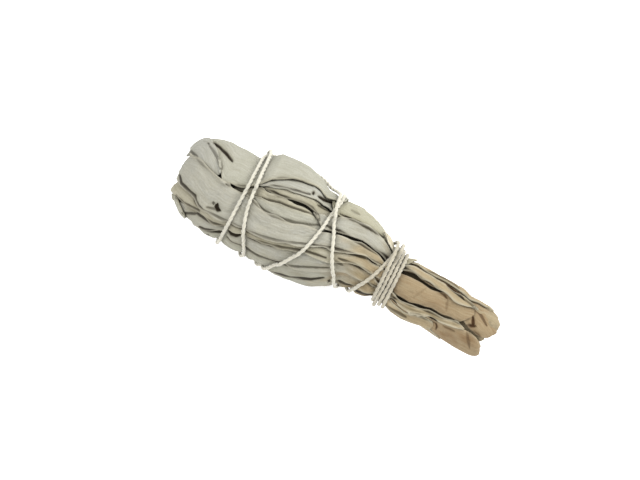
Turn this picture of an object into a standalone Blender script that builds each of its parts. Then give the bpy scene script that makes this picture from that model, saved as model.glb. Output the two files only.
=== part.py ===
"""A small tied bunch of dried white sage, lying on its side.

Four leafy sprigs lie side by side in the middle. Loose leaves are wrapped round them lengthwise, one over
another, and one cotton string is wound round it all, crosswise over the belly and side by side at the neck.

The bunch lies along X: the cut stem end is at +X and the leafy head at -X. Places on it are given in bundle
coordinates: s, millimetres from the stem end, which runs on over the round head as an arc; psi, degrees round
the bunch from the side that faces up and a little towards -Y; and rho, millimetres out from the middle.
"""

import math
from dataclasses import dataclass

import bmesh
import bpy
import numpy as np

MM = 0.001

# Driving sizes, in millimetres and degrees
STEM_X = 51.5
AXIS_Y = -1.3
AXIS_HEIGHT = 15.0
FACE_TILT = 19.1
SECTION_LEAN = 0.2
FACE_SHORTENING = 0.0024
DOME_START = 88.5
DOME_RADIUS = 12.8
DOME_FULLNESS = 0.10
LEAF_THICKNESS = 0.67
LEAF_GAP = 0.32
STRING_RADIUS = 0.48
STRING_STEP = 2.3
STRING_GROOVE = 0.7
STRING_GROOVE_WIDTH = 1.8
STRING_REACH = (-0.75, -0.4, 0.0, 0.4, 0.75)
SPRIG_DEPTH = 5.2
SPRIG_DEPTH_AT_STEM = 4.2
BLADE_RISE = 0.5
BLADE_SWELL = 0.5
BLADE_SHIFT = 1.3

# Outline of the bunch: distance from the stem end, radius, sideways offset of the middle
PROFILE = np.array((
    (-4, 6.2, 1.4), (0, 6.6, 1.4), (5, 7.2, 1.15), (10, 7.1, 1.0), (15, 7.2, 0.5), (20, 7.3, 0.1),
    (25, 7.2, 0.3), (29, 6.9, 0.2), (31, 6.2, 0.2), (35, 6.2, 0.2), (37.5, 7.6, -0.4), (40, 9.0, -0.8),
    (45, 10.5, -1.4), (50, 11.8, -1.2),
    (55, 13.1, -0.6), (60, 14.4, -0.1), (65, 15.2, -0.5), (70, 15.5, -0.9), (75, 15.3, -0.6),
    (80, 14.2, 0.3), (85, 13.2, 0.9), (88.5, 12.8, 0.8),
))

# The string's route: degrees turned in all, distance from the stem end
STRING_ROUTE = (
    (-135, 33.6), (-112, 34.3), (-90, 35.0), (-26, 36.0), (-4, 37.2), (20, 38.7), (42, 40.4),
    (90, 42.3), (161, 46.0), (215, 51.0), (270, 55.6), (304, 55.9), (325, 56.7), (345, 57.2), (362, 58.0),
    (379, 59.3), (402, 62.2), (417, 64.2), (450, 67.2), (485, 69.8), (521, 71.6), (550, 71.6), (575, 72.4),
    (592, 74.4), (607, 77.8), (630, 81.9), (720, 82.3), (810, 81.3), (881, 81.8), (935, 82.0), (990, 80.3),
    (1068, 79.4), (1090, 78.6), (1110, 76.8), (1135, 74.2), (1170, 73.0), (1205, 75.0), (1241, 76.6),
    (1270, 77.0), (1295, 76.4),
    (1312, 73.6), (1330, 68.6), (1350, 60.8), (1403, 55.9), (1427, 53.5), (1449, 51.3), (1468, 49.1),
    (1490, 47.2), (1530, 45.7),
    (1601, 42.5), (1655, 39.5), (1710, 36.2), (1800, 35.4), (2160, 34.05), (2520, 32.7), (2880, 31.35),
    (3010, 30.9), (3050, 30.9), (3075, 31.9), (3100, 34.8), (3112, 37.0),
)

# The rest patch: its two ends along the bunch, and half its width in degrees
REST_FROM = 54.5
REST_TO = 66.0
REST_HALF_ANGLE = 27.0
REST_ROUNDING = 0.25
REST_FADE_AROUND = 6.0
REST_FADE_TO_STEM = 3.0
REST_FADE_TO_HEAD = 1.5
STRING_CLEARANCE = 2.2
REST_DIRECTION = 180.0 - FACE_TILT
LEAST_DOWN = 0.2

# The keel that carries the rest patch down to the surface, where the outline would not reach it
KEEL_FADE_TO_STEM = 9.0
KEEL_FULL_TO_STEM = 0.5
KEEL_END = 92.0
KEEL_FULL_END = 80.0
KEEL_SPREAD = 2.4

SPRIG_DIRECTIONS = (-38.0, 55.0, 147.0, 233.0)
SPRIG_STEM_LOBES = ((-2.0, 2.3, 2.6), (5.3, 0.9, 2.0), (0.5, -3.9, 2.1), (-3.9, -2.6, 1.6))
SPRIG_SIDES = 10
SPRIG_STATIONS = (0.9, 2.2, 6, 12, 20, 32, 40, 48, 56, 64, 72, 80, 88, 92, 95)
SPRIG_TAPER_FROM = 84.0
SPRIG_TAPER_LENGTH = 14.5
SPRIG_SHARE = 0.405
SPRIG_SPACING = 0.2
SPRIG_OVERLAP = 0.35
SPRIG_BLEND = (8.0, 30.0)
SPRIG_CUT_ROUNDING = 3.5
SPRIG_DEPTH_RANGE = (25.0, 60.0)
BLADE_SWING = 18.5
BLADE_HALF_ANGLE = 21.5
BLADE_TIP = 103.0
BLADE_TIP_STEP = 2.5
BLADE_SHOULDER = 4.0
BLADE_PLACES = (93, 86, 78, 70, 62, 54, 46, 38, 30, 25)
BLADE_WIDTHS = (0.35, 0.75, 0.95, 1, 1, 1, 1, 1, 1, 0.95, 0.85, 0.6)
BLADE_COLUMNS = 3
BLADE_LEAN_RANGE = (60.0, 30.0)

# How finely things are worked out
ROUTE_SAMPLES = 6000
STRING_SAMPLES_PER_STEP = 4
TAUT_PASSES = 400
LAYING_PASSES = 12
LAYING_SPREAD = 10

# Where the string meets its own earlier turns: its gap to them, and what counts as a crossing
STRING_SELF_GAP = 0.34
CROSSING_LEAD = 0.3
CROSSING_SLOPE = 0.012
SIDE_BY_SIDE = 2.3
STRING_SETTLES = 4
STRING_MEMORY = 12

ROUTE_STEP = 0.5
GROOVE_REACH = 3.0
GROOVE_STRIDE = 2
SAMPLE_STEP = 0.34
SAMPLE_COUNTS = (8, 14, 28, 50)
GRID_S = np.arange(-6.0, 110.0, 0.5)
GRID_PSI = np.arange(0.0, 360.0, 2.0)

SAGE = (0.56, 0.58, 0.49)
PALE = (0.66, 0.67, 0.60)
SILVER = (0.60, 0.62, 0.60)
YELLOW = (0.60, 0.58, 0.42)
OLIVE = (0.44, 0.40, 0.27)
TAN = (0.52, 0.42, 0.25)
COTTON = (0.82, 0.78, 0.68)


@dataclass(frozen=True)
class Leaf:
    """A leaf laid along the bunch: depth under the outline, and rows of (s, psi at each of its two edges)."""

    name: str
    colour: tuple
    depth: float
    rows: tuple
    columns: int = 4


# Leaves that are seen from above, from the lowest to the one on top
FRONT_LEAVES = (
    Leaf("stem_wrap_upper", TAN, 1.8, (
        (29, -92, -46), (25, -92, -40), (19, -92, -34), (13, -94, -14), (9, -98, 6), (5, -98, 13),
        (2.4, -90, 12), (0.6, -64, -4))),
    Leaf("stem_wrap_lower", TAN, 0.8, (
        (28.5, 48, 112), (24, 44, 120), (18, 40, 124), (13, 28, 122), (9, 16, 120), (5.5, 17, 118),
        (3.2, 24, 112), (2, 44, 98))),
    Leaf("stem_sheath", TAN, 0.9, (
        (38, -24, 24), (34.5, -29, 29), (31, -32, 31), (26, -31, 26), (21, -28, 21),
        (17, -36, 17), (13, -44, 10), (10.5, -45, 3), (8.6, -39, -9)), 4),
    Leaf("top_strip", YELLOW, 1.5, (
        (59, -108, -70), (55, -116, -47), (50, -117, -45), (46, -115, -48), (42, -112, -53), (38, -110, -57),
        (34, -108, -62), (30, -106, -66), (26, -102, -70)), 4),
    Leaf("stem_blade", SAGE, 0.6, (
        (29, -106, -74), (25, -110, -64), (21, -110, -65), (17, -108, -63), (13, -104, -60), (9, -102, -66),
        (6, -98, -70), (4.2, -90, -76)), 2),
    Leaf("olive_band", OLIVE, 2.2, (
        (83, -28, -17), (79, -25, -19), (75, -28, -18), (70, -33, -20), (66, -39, -26), (62, -45, -31),
        (58, -50, -36), (54, -57, -39), (50, -62, -43), (46, -70, -47)), 1),
    Leaf("under_leaf", SAGE, 1.4, (
        (97, 84, 108), (94, 72, 118), (90, 66, 124), (84, 64, 126), (78, 58, 126), (72, 60, 128),
        (66, 62, 128), (60, 60, 126), (54, 56, 122), (48, 50, 118), (42, 44, 112), (36, 46, 108),
        (30, 56, 106), (24, 60, 108), (18, 63, 105), (13.5, 70, 98))),
    Leaf("low_leaf", SAGE, 1.2, (
        (90, 64, 80), (87, 56, 87), (84, 50, 84), (81, 43, 73), (78, 40, 70), (74, 40, 72), (70, 40, 76),
        (66, 38, 80), (62, 34, 76), (58, 31, 71), (54, 28, 68), (50, 24, 64), (46, 20, 53), (42, 22, 53),
        (38, 32, 52), (34, 42, 55), (30, 48, 60), (25, 49, 65), (20, 44, 68), (17, 42, 60))),
    Leaf("flank_leaf", PALE, 0.9, (
        (98, 48, 56), (95, 36, 64), (92, 31, 68), (88, 30, 70), (85, 28, 60), (82, 26, 49), (78, 26, 54),
        (74, 24, 53), (70, 24, 54), (66, 20, 49), (62, 14, 46), (58, 11, 46), (54, 10, 42), (50, 10, 35),
        (46, 8, 33), (42, 8, 33), (38, 15, 31), (34, 26, 39), (30, 33, 45), (25, 30, 45), (20, 26, 41),
        (15, 18, 31), (11, 9, 22), (9, 11, 18))),
    Leaf("small_fold", SAGE, 0.3, (
        (100, 60, 74), (97.5, 52, 84), (95, 54, 84), (93, 62, 78)), 2),
    Leaf("rolled_band", OLIVE, 0.7, (
        (103, 36, 70), (100, 22, 54), (97, 15, 46), (93, 15, 41), (90, 20, 42), (86, 22, 44), (82, 18, 39),
        (78, 18, 40), (74, 18, 36), (70, 17, 36), (66, 12, 31), (62, 6, 24), (58, 1, 21), (54, -1, 21),
        (50, -1, 21), (46, -3, 16), (42, -5, 13), (38, -6, 12), (34, -6, 11), (30.5, -3, 9)), 2),
    Leaf("fold_leaf", OLIVE, 1.5, (
        (85, -22, -8), (82, -22, -6), (79, -20, -5), (75, -17, -4), (71, -18, -6), (67, -21, -9),
        (64, -24, -13), (61.5, -25, -19)), 1),
    Leaf("inner_fold", SAGE, 1.0, (
        (83, -10, 6), (79, -8, 10), (75, -8, 13), (71, -10, 13), (67, -13, 10), (64, -17, 6), (62, -21, -2),
        (60.2, -22, -13)), 2),
    Leaf("lens_leaf", SILVER, 1.1, (
        (84, -54, -22), (80, -58, -21), (76, -60, -23), (72, -64, -27), (68, -68, -31), (64, -74, -38),
        (60, -79, -46), (56, -82, -51), (52, -83, -58), (49, -82, -67)), 3),
    Leaf("long_pale_leaf", PALE, 0.6, (
        (61.5, -30, -25), (59, -34, -19), (56, -37, -17), (52, -40, -19), (48, -43, -20), (44, -46, -22),
        (40, -48, -25), (37, -47, -30), (34, -51, -34), (30, -58, -37), (25, -58, -37), (20, -51, -30),
        (16, -49, -24), (13, -47, -25), (10, -45, -32), (8.2, -42, -37)), 2),
    Leaf("neck_nub", COTTON, 0.2, (
        (41.5, -64, -58), (39, -70, -51), (36.6, -69, -49), (35, -62, -52)), 1),
    Leaf("top_wrap", SAGE, 0.0, (
        (102, -140, -98), (99, -148, -76), (96, -148, -54), (93, -144, -36), (91, -140, -24), (89, -136, -11),
        (86, -134, -13), (82, -131, -17), (79, -129, -22), (76, -127, -31), (72, -124, -40), (68, -120, -47),
        (64, -114, -54), (60, -106, -63), (57, -96, -76)), 6),
    Leaf("crown_roll", SILVER, -0.3, (
        (105, -118, -72), (102, -112, -46), (99, -94, -34), (96, -62, -25), (93, -40, -18),
        (90.5, -24, -12)), 2),
    Leaf("main_wrap", PALE, 0.0, (
        (106, -68, 54), (103, -45, 24), (100, -31, 22), (97, -24, 24), (94, -17, 26), (91, -13, 33),
        (88, -10, 33), (85, -11, 32), (82, -10, 30), (78, -2, 30), (74, 3, 30), (70, 3, 29), (66, 0, 23),
        (62, -7, 17), (58, -13, 10), (54, -16, 6), (50, -15, 5), (46, -16, 2), (42, -18, -4), (38, -23, -10),
        (34, -26, -14), (30.5, -26, -18)), 5),
)

# Leaves on the far side, laid by a rule: name, colour, depth, middle in degrees, half width, tip, stalk end
BACK_LEAVES = (
    ("back_inner_a", OLIVE, 3.4, 128, 18, 101, 8),
    ("back_inner_b", TAN, 3.6, 170, 17, 96, 6),
    ("back_inner_c", TAN, 2.6, 214, 18, 102, 9),
    ("back_inner_d", OLIVE, 3.0, 250, 15, 90, 16),
    ("back_middle_a", SAGE, 2.7, 150, 18, 100, 15),
    ("back_middle_b", PALE, 2.7, 192, 18, 104, 13),
    ("back_middle_c", SAGE, 1.8, 234, 18, 95, 17),
    ("back_outer_a", SILVER, 1.1, 231, 14, 92, 24),
)
BACK_SEED = 5
BACK_ROWS = 16
BACK_WANDER = 1.2
BACK_COLUMNS = 4
BACK_TIP_START = 0.06
BACK_LENGTHWISE = 1.15
BACK_FULLNESS = 0.6
BACK_NARROWING = 0.45
BACK_STALK_WIDTH = 0.22

REST_LEAF_ROWS = (
    (68.3, 153, 169), (66, 147, 179), (62.5, 145, 181), (58.5, 145, 181), (54.5, 145, 181),
    (52.2, 145, 180), (49, 145, 179), (45, 146, 177), (39, 147, 174), (33, 150, 170), (27, 152, 168),
    (22, 155, 165),
)


def smooth_step(low, high, value):
    """0 up to low, 1 from high on, with a soft start and end."""
    part = np.clip((value - low) / (high - low), 0.0, 1.0)
    return part * part * (3.0 - 2.0 * part)


def smooth_curve(knots, values, places):
    """A curve through the knots, with the slope at each taken from its two neighbours."""
    slopes = np.gradient(values, knots)
    span = np.clip(np.searchsorted(knots, places, side="right") - 1, 0, len(knots) - 2)
    width = knots[span + 1] - knots[span]
    part = (places - knots[span]) / width
    rise = 3 * part**2 - 2 * part**3
    leaving = (part**3 - 2 * part**2 + part) * width * slopes[span]
    arriving = (part**3 - part**2) * width * slopes[span + 1]
    return (1 - rise) * values[span] + rise * values[span + 1] + leaving + arriving


def leaning_x(along, forward):
    """X of a place, from its distance along the bunch and its height over the middle.

    The cross-sections lean: their upper side is nearer to the stem end. The seen face is also a little
    shorter than the middle of the bunch.
    """
    return (STEM_X - along) * (1 - FACE_SHORTENING * forward) + SECTION_LEAN * forward


def to_space(s, psi, rho):
    """Bundle coordinates to an array of points in millimetres."""
    s, psi, rho = np.broadcast_arrays(np.asarray(s, float), np.radians(psi), np.asarray(rho, float))
    bend = np.clip((s - DOME_START) / DOME_RADIUS, 0.0, math.pi / 2)
    along = np.minimum(s, DOME_START) + rho * np.sin(bend)
    out = rho * np.cos(bend)
    offset = np.interp(s, PROFILE[:, 0], PROFILE[:, 2])
    tilt = math.radians(FACE_TILT)
    forward = out * np.cos(psi)
    sideways = out * np.sin(psi) + offset
    y = AXIS_Y - forward * math.sin(tilt) - sideways * math.cos(tilt)
    z = AXIS_HEIGHT + forward * math.cos(tilt) - sideways * math.sin(tilt)
    return np.stack([leaning_x(along, forward), y, z], axis=-1)


def from_space(points):
    """Points in millimetres back to bundle coordinates."""
    tilt = math.radians(FACE_TILT)
    y = points[..., 1] - AXIS_Y
    z = points[..., 2] - AXIS_HEIGHT
    forward = -y * math.sin(tilt) + z * math.cos(tilt)
    along = STEM_X - (points[..., 0] - SECTION_LEAN * forward) / (1 - FACE_SHORTENING * forward)
    offset = np.interp(along, PROFILE[:, 0], PROFILE[:, 2])
    sideways = -y * math.cos(tilt) - z * math.sin(tilt) - offset
    out = np.hypot(forward, sideways)
    beyond = np.maximum(along - DOME_START, 0.0)
    s = np.where(beyond > 0, DOME_START + DOME_RADIUS * np.arctan2(beyond, out), along)
    return s, np.degrees(np.arctan2(sideways, forward)) % 360.0, np.hypot(out, beyond)


class Relief:
    """The outline's radius and the height reached so far, both on a grid over the bunch."""

    def __init__(self, route):
        """Lay out the outline, press the string's route into it and flatten its underside."""
        s = GRID_S[:, None] * np.ones(len(GRID_PSI))
        psi = GRID_PSI[None, :] * np.ones((len(GRID_S), 1))
        bend = np.clip((s - DOME_START) / DOME_RADIUS, 0.0, math.pi / 2)
        radius = np.interp(s, PROFILE[:, 0], PROFILE[:, 1]) * (1 + DOME_FULLNESS * np.sin(2 * bend) ** 2)
        down = np.cos(np.radians(psi - REST_DIRECTION)) * np.cos(bend)
        middle = AXIS_HEIGHT - np.interp(s, PROFILE[:, 0], PROFILE[:, 2]) * math.sin(math.radians(FACE_TILT))
        turned = np.abs((psi - REST_DIRECTION + 180.0) % 360.0 - 180.0)
        flat = smooth_step(REST_HALF_ANGLE + REST_FADE_AROUND, REST_HALF_ANGLE, turned)
        flat = flat * smooth_step(REST_FROM - REST_FADE_TO_STEM, REST_FROM, s)
        flat = flat * smooth_step(REST_TO + REST_FADE_TO_HEAD, REST_TO, s)
        floor = (middle - STRING_CLEARANCE * (1 - flat)) / np.maximum(down, LEAST_DOWN)
        keel = smooth_step(REST_FROM - KEEL_FADE_TO_STEM, REST_FROM - KEEL_FULL_TO_STEM, s)
        keel = keel * smooth_step(KEEL_END, KEEL_FULL_END, s)
        keel = keel * smooth_step(KEEL_SPREAD * REST_HALF_ANGLE, REST_HALF_ANGLE, turned)
        radius = radius + keel * np.maximum(floor - radius, 0.0)
        groove = self.press(s, psi, route)
        self.outline = np.minimum(radius - groove * (1 - flat), floor)
        self.height = np.zeros_like(self.outline)

    @staticmethod
    def press(s, psi, route):
        """How deep the string's route is pressed in at each place of the grid."""
        groove = np.zeros_like(s)
        for place, angle in zip(route[0][::GROOVE_STRIDE], route[1][::GROOVE_STRIDE]):
            window = np.abs(GRID_S - place) < GROOVE_REACH * STRING_GROOVE_WIDTH
            turned = np.radians((psi[window] - angle + 180.0) % 360.0 - 180.0)
            distance = np.hypot(s[window] - place, turned * DOME_RADIUS)
            depth = STRING_GROOVE * np.exp(-((distance / STRING_GROOVE_WIDTH) ** 2))
            groove[window] = np.maximum(groove[window], depth)
        return groove

    @staticmethod
    def cell(s, psi):
        """Index of the grid cell that a place falls in."""
        row = np.clip(np.rint((s - GRID_S[0]) / (GRID_S[1] - GRID_S[0])).astype(int), 0, len(GRID_S) - 1)
        column = np.rint((psi % 360.0) / (GRID_PSI[1] - GRID_PSI[0])).astype(int) % len(GRID_PSI)
        return row, column

    def outline_at(self, s, psi):
        """Radius of the outline at a place."""
        return self.outline[self.cell(np.asarray(s, float), np.asarray(psi, float))]

    def height_at(self, s, psi):
        """Height reached so far at a place."""
        return self.height[self.cell(s, psi)]

    def add(self, points, triangles):
        """Raise the grid to a body's triangles."""
        s, psi, rho = from_space(sample_triangles(points, triangles))
        np.maximum.at(self.height, self.cell(s, psi), rho)


def barycentric(steps):
    """Evenly spread weights over a triangle."""
    weights = [(i, j, steps - i - j) for i in range(steps + 1) for j in range(steps + 1 - i)]
    return np.array(weights, float) / steps


def sample_triangles(points, triangles):
    """Points spread over triangles, close enough together to meet every cell of the grid."""
    corners = points[triangles]
    longest = np.linalg.norm(corners - np.roll(corners, 1, axis=1), axis=2).max(axis=1)
    samples = []
    for steps in SAMPLE_COUNTS:
        chosen = np.ceil(longest / SAMPLE_STEP) <= steps
        spread = np.einsum("sk,tkc->tsc", barycentric(steps), corners[chosen])
        samples.append(spread.reshape(-1, 3))
        corners, longest = corners[~chosen], longest[~chosen]
    return np.concatenate(samples)


def grid_triangles(rows, columns):
    """Triangles of a grid of rows by columns of cells, split the same way everywhere."""
    triangles = []
    for row in range(rows):
        for column in range(columns):
            a = row * (columns + 1) + column
            b = a + columns + 1
            triangles.append((a, a + 1, b + 1))
            triangles.append((a, b + 1, b))
    return np.array(triangles)


def grid_rim(rows, columns):
    """The vertices round the edge of a grid, in order."""
    width = columns + 1
    near = list(range(columns))
    right = [row * width + columns for row in range(rows)]
    far = [rows * width + column for column in range(columns, 0, -1)]
    left = [row * width for row in range(rows, 0, -1)]
    return near + right + far + left


def blade_shell(s, psi, under, thickness, columns):
    """A closed blade over a grid of places: its two faces and the wall round its edge."""
    count = len(s)
    rows = count // (columns + 1) - 1
    points = np.concatenate([to_space(s, psi, under), to_space(s, psi, under + thickness)])
    face = grid_triangles(rows, columns)
    rim = np.array(grid_rim(rows, columns))
    following = np.roll(rim, -1)
    wall = np.concatenate([
        np.stack([rim, following, following + count], axis=1),
        np.stack([rim, following + count, rim + count], axis=1),
    ])
    return points, np.concatenate([face[:, ::-1], face + count, wall[:, ::-1]])


def drape(relief, rows, columns, depth, thickness=LEAF_THICKNESS, gap=LEAF_GAP):
    """Lay a leaf at its depth under the outline, lifted clear of what is already there unless gap is None."""
    across = np.linspace(0.0, 1.0, columns + 1)
    table = np.array(rows, float)
    s = np.repeat(table[:, 0], columns + 1)
    psi = (table[:, 1, None] * (1 - across) + table[:, 2, None] * across).ravel()
    under = relief.outline_at(s, psi) - (depth(s) if callable(depth) else depth) - thickness
    if gap is not None:
        under = np.maximum(under, relief.height_at(s, psi) + gap)
        face = grid_triangles(len(table) - 1, columns)
        weights = barycentric(LAYING_SPREAD)
        share = weights / (weights**2).sum(axis=1, keepdims=True)
        for _ in range(LAYING_PASSES):
            places = from_space(np.einsum("sk,tkc->tsc", weights, to_space(s, psi, under)[face]))
            lack = relief.height_at(places[0], places[1]) + gap - places[2]
            lift = np.zeros_like(under)
            for corner in range(3):
                need = np.maximum(lack, 0.0) * share[:, corner]
                np.maximum.at(lift, face[:, corner], need.max(axis=1))
            under = under + lift
    return blade_shell(s, psi, under, thickness, columns)


def back_leaf_rows(spec, random):
    """Rows of a leaf on the far side: pointed tip, full middle and a stalk, along a slightly wavy line."""
    _, _, _, middle, half, tip, end = spec
    part = np.linspace(0.0, 1.0, BACK_ROWS)
    swing = np.sin(np.pi * np.clip(part * BACK_LENGTHWISE + BACK_TIP_START, 0, 1))
    full = swing.clip(0.0, 1.0) ** BACK_FULLNESS
    width = half * np.maximum(full * (1 - BACK_NARROWING * part), BACK_STALK_WIDTH)
    wander = random.normal(0.0, BACK_WANDER, 3)
    line = middle + wander[0] * np.sin(np.pi * part) + wander[1] * (part - 0.5)
    line = line + wander[2] * np.sin(2 * np.pi * part)
    s = tip + (end - tip) * part
    return tuple(zip(s, line - width, line + width))


def sprig_depth(s):
    """How far the sprigs lie under the outline: less where the bunch is thin."""
    return SPRIG_DEPTH_AT_STEM + (SPRIG_DEPTH - SPRIG_DEPTH_AT_STEM) * smooth_step(*SPRIG_DEPTH_RANGE, s)


def sprig_core(direction, lobe):
    """The bunched middle of a sprig: round sections from the cut stem end up into the head."""
    turned = math.radians(direction)
    rings = []
    for place in SPRIG_STATIONS:
        limit = float(np.interp(place, PROFILE[:, 0], PROFILE[:, 1])) - float(sprig_depth(place))
        taper = max(0.0, (place - SPRIG_TAPER_FROM) / SPRIG_TAPER_LENGTH)
        limit *= math.sqrt(max(0.0, 1 - taper**2))
        radius = SPRIG_SHARE * limit - SPRIG_SPACING
        reach = limit + SPRIG_OVERLAP - radius
        blend = float(smooth_step(*SPRIG_BLEND, place))
        from_end = (place - SPRIG_STATIONS[0]) / SPRIG_CUT_ROUNDING
        round_end = math.sqrt(min(1.0, SPRIG_OVERLAP + from_end))
        side = (1 - blend) * lobe[0] + blend * reach * math.sin(turned)
        front = (1 - blend) * lobe[1] + blend * reach * math.cos(turned)
        radius = ((1 - blend) * lobe[2] + blend * radius) * round_end
        angles = np.linspace(0, 2 * math.pi, SPRIG_SIDES, endpoint=False)
        tilt = math.radians(FACE_TILT)
        forward = front + radius * np.cos(angles)
        offset = float(np.interp(place, PROFILE[:, 0], PROFILE[:, 2])) * blend
        sideways = side + offset + radius * np.sin(angles)
        y = AXIS_Y - forward * math.sin(tilt) - sideways * math.cos(tilt)
        z = AXIS_HEIGHT + forward * math.cos(tilt) - sideways * math.sin(tilt)
        rings.append(np.stack([leaning_x(place, forward), y, z], axis=1))
    return rings


def loft(rings):
    """A closed body through rings of points, with a fan on each end."""
    sides = len(rings[0])
    points = np.concatenate(rings + [rings[0].mean(axis=0)[None], rings[-1].mean(axis=0)[None]])
    first, last = len(points) - 2, len(points) - 1
    triangles = []
    for ring in range(len(rings) - 1):
        for side in range(sides):
            a = ring * sides + side
            b = ring * sides + (side + 1) % sides
            triangles.append((a, b, b + sides))
            triangles.append((a, b + sides, a + sides))
    for side in range(sides):
        triangles.append((first, (side + 1) % sides, side))
        end = (len(rings) - 1) * sides
        triangles.append((last, end + side, end + (side + 1) % sides))
    return points, np.array(triangles)


def string_route(step):
    """The string's route as (s, degrees turned), with a point every step millimetres."""
    knots = np.array(STRING_ROUTE, float)
    turned = np.linspace(knots[0, 0], knots[-1, 0], ROUTE_SAMPLES)
    s = smooth_curve(knots[:, 0], knots[:, 1], turned)
    radius = np.interp(s, PROFILE[:, 0], PROFILE[:, 1])
    walk = np.concatenate([[0], np.cumsum(np.hypot(np.diff(s), np.radians(np.diff(turned)) * radius[1:]))])
    places = np.linspace(0, walk[-1], int(walk[-1] / step) + 1)
    return np.interp(places, walk, s), np.interp(places, walk, turned)


def string_heights(relief, s, turned):
    """Radius of the string's middle line: taut, clear of the leaves, and over its own earlier turns."""
    need = np.zeros(len(s))
    degrees = np.degrees(1.0 / np.interp(s, PROFILE[:, 0], PROFILE[:, 1]))
    for along in STRING_REACH:
        for around in STRING_REACH:
            need = np.maximum(need, relief.height_at(s + along, turned + around * degrees))
    need = need + STRING_RADIUS + LEAF_GAP
    chord = np.cos(np.radians(np.gradient(turned)))
    over = 2 * STRING_RADIUS + STRING_SELF_GAP
    reach = over + CROSSING_LEAD
    slope = np.gradient(s, turned)
    for _ in range(STRING_SETTLES):
        heights = pull_taut(need, chord)
        raised = need.copy()
        for place in range(STRING_MEMORY, len(s)):
            earlier = np.arange(0, place - STRING_MEMORY + 1)
            around = np.radians((turned[earlier] - turned[place] + 180.0) % 360.0 - 180.0) * heights[place]
            distance = np.hypot(s[earlier] - s[place], around)
            crosses = np.abs(slope[place] - slope[earlier]) > CROSSING_SLOPE
            near = distance < np.where(crosses, reach, SIDE_BY_SIDE * STRING_RADIUS)
            if near.any():
                raised[place] = max(raised[place], heights[earlier][near].max() + over)
        need = np.maximum(need, raised)
    return pull_taut(need, chord)


def pull_taut(need, chord):
    """Heights of a taut string that may not go under what is needed."""
    heights = need.copy()
    for _ in range(TAUT_PASSES):
        middle = heights.copy()
        middle[1:-1] = 0.5 * (heights[:-2] + heights[2:]) * chord[1:-1]
        heights = np.maximum(need, middle)
    return heights


def material(name, colour, roughness):
    """A plain matt material."""
    made = bpy.data.materials.new(name)
    made.use_nodes = True
    shader = made.node_tree.nodes["Principled BSDF"]
    shader.inputs["Base Color"].default_value = (*colour, 1.0)
    shader.inputs["Roughness"].default_value = roughness
    shader.inputs["Metallic"].default_value = 0.0
    return made


def mesh_object(name, points, triangles, colour, roughness=0.85):
    """An object from points in millimetres and triangles, with its faces pointing out."""
    mesh = bpy.data.meshes.new(name)
    mesh.from_pydata((points * MM).tolist(), [], triangles.tolist())
    shape = bmesh.new()
    shape.from_mesh(mesh)
    bmesh.ops.recalc_face_normals(shape, faces=shape.faces)
    shape.to_mesh(mesh)
    shape.free()
    mesh.materials.append(material(name + "_material", colour, roughness))
    made = bpy.data.objects.new(name, mesh)
    bpy.context.scene.collection.objects.link(made)
    return made


def fuse(name, bodies, colour):
    """Join overlapping bodies into one solid with a Boolean union on a collection."""
    first = mesh_object(name, *bodies[0], colour)
    others = bpy.data.collections.new(name + "_blades")
    bpy.context.scene.collection.children.link(others)
    for number, body in enumerate(bodies[1:]):
        blade = mesh_object(f"{name}_blade_{number}", *body, colour)
        bpy.context.scene.collection.objects.unlink(blade)
        others.objects.link(blade)
    union = first.modifiers.new("union", "BOOLEAN")
    union.operation = "UNION"
    union.solver = "MANIFOLD"
    union.operand_type = "COLLECTION"
    union.collection = others
    with bpy.context.temp_override(object=first, active_object=first, selected_objects=[first]):
        bpy.ops.object.modifier_apply(modifier=union.name)
    for blade in list(others.objects):
        bpy.data.objects.remove(blade)
    bpy.data.collections.remove(others)
    return first


def make_sprigs(relief):
    """Four leafy sprigs: a bunched middle with two long blades fused to each."""
    for number, (direction, lobe) in enumerate(zip(SPRIG_DIRECTIONS, SPRIG_STEM_LOBES)):
        bodies = [loft(sprig_core(direction, lobe))]
        for side in (-1, 1):
            line = direction + side * BLADE_SWING
            tip = BLADE_TIP - BLADE_TIP_STEP * ((number + side) % 2)
            places = [tip, tip - BLADE_SHOULDER] + [place - BLADE_SHIFT * side for place in BLADE_PLACES]
            rows = []
            for place, width in zip(places, BLADE_WIDTHS):
                half = BLADE_HALF_ANGLE * width
                lean = -side * (BLADE_HALF_ANGLE - half) * float(smooth_step(*BLADE_LEAN_RANGE, place))
                rows.append((place, line + lean - half, line + lean + half))
            swell = BLADE_SWELL * (side > 0)
            thickness = LEAF_THICKNESS + swell
            raised = BLADE_RISE + swell / 2
            bodies.append(drape(
                relief, rows, BLADE_COLUMNS, lambda s: sprig_depth(s) - raised, thickness, None))
        for points, triangles in bodies:
            relief.add(points, triangles)
        fuse(f"sprig_{number + 1}", bodies, OLIVE)


def make_leaves(relief):
    """The wrapped leaves: far side first, then the rest leaf, then the near side up to the one on top."""
    random = np.random.default_rng(BACK_SEED)
    leaves = []
    for spec in BACK_LEAVES:
        leaves.append(Leaf(*spec[:3], back_leaf_rows(spec, random), BACK_COLUMNS))
    leaves.append(Leaf("rest_leaf", SAGE, 0.0, REST_LEAF_ROWS, 4))
    leaves.extend(FRONT_LEAVES)
    for leaf in leaves:
        points, triangles = drape(relief, leaf.rows, leaf.columns, leaf.depth)
        if leaf.name == "rest_leaf":
            points[points[:, 2] < REST_ROUNDING, 2] = 0.0
        relief.add(points, triangles)
        mesh_object(leaf.name, points, triangles, leaf.colour)


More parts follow.
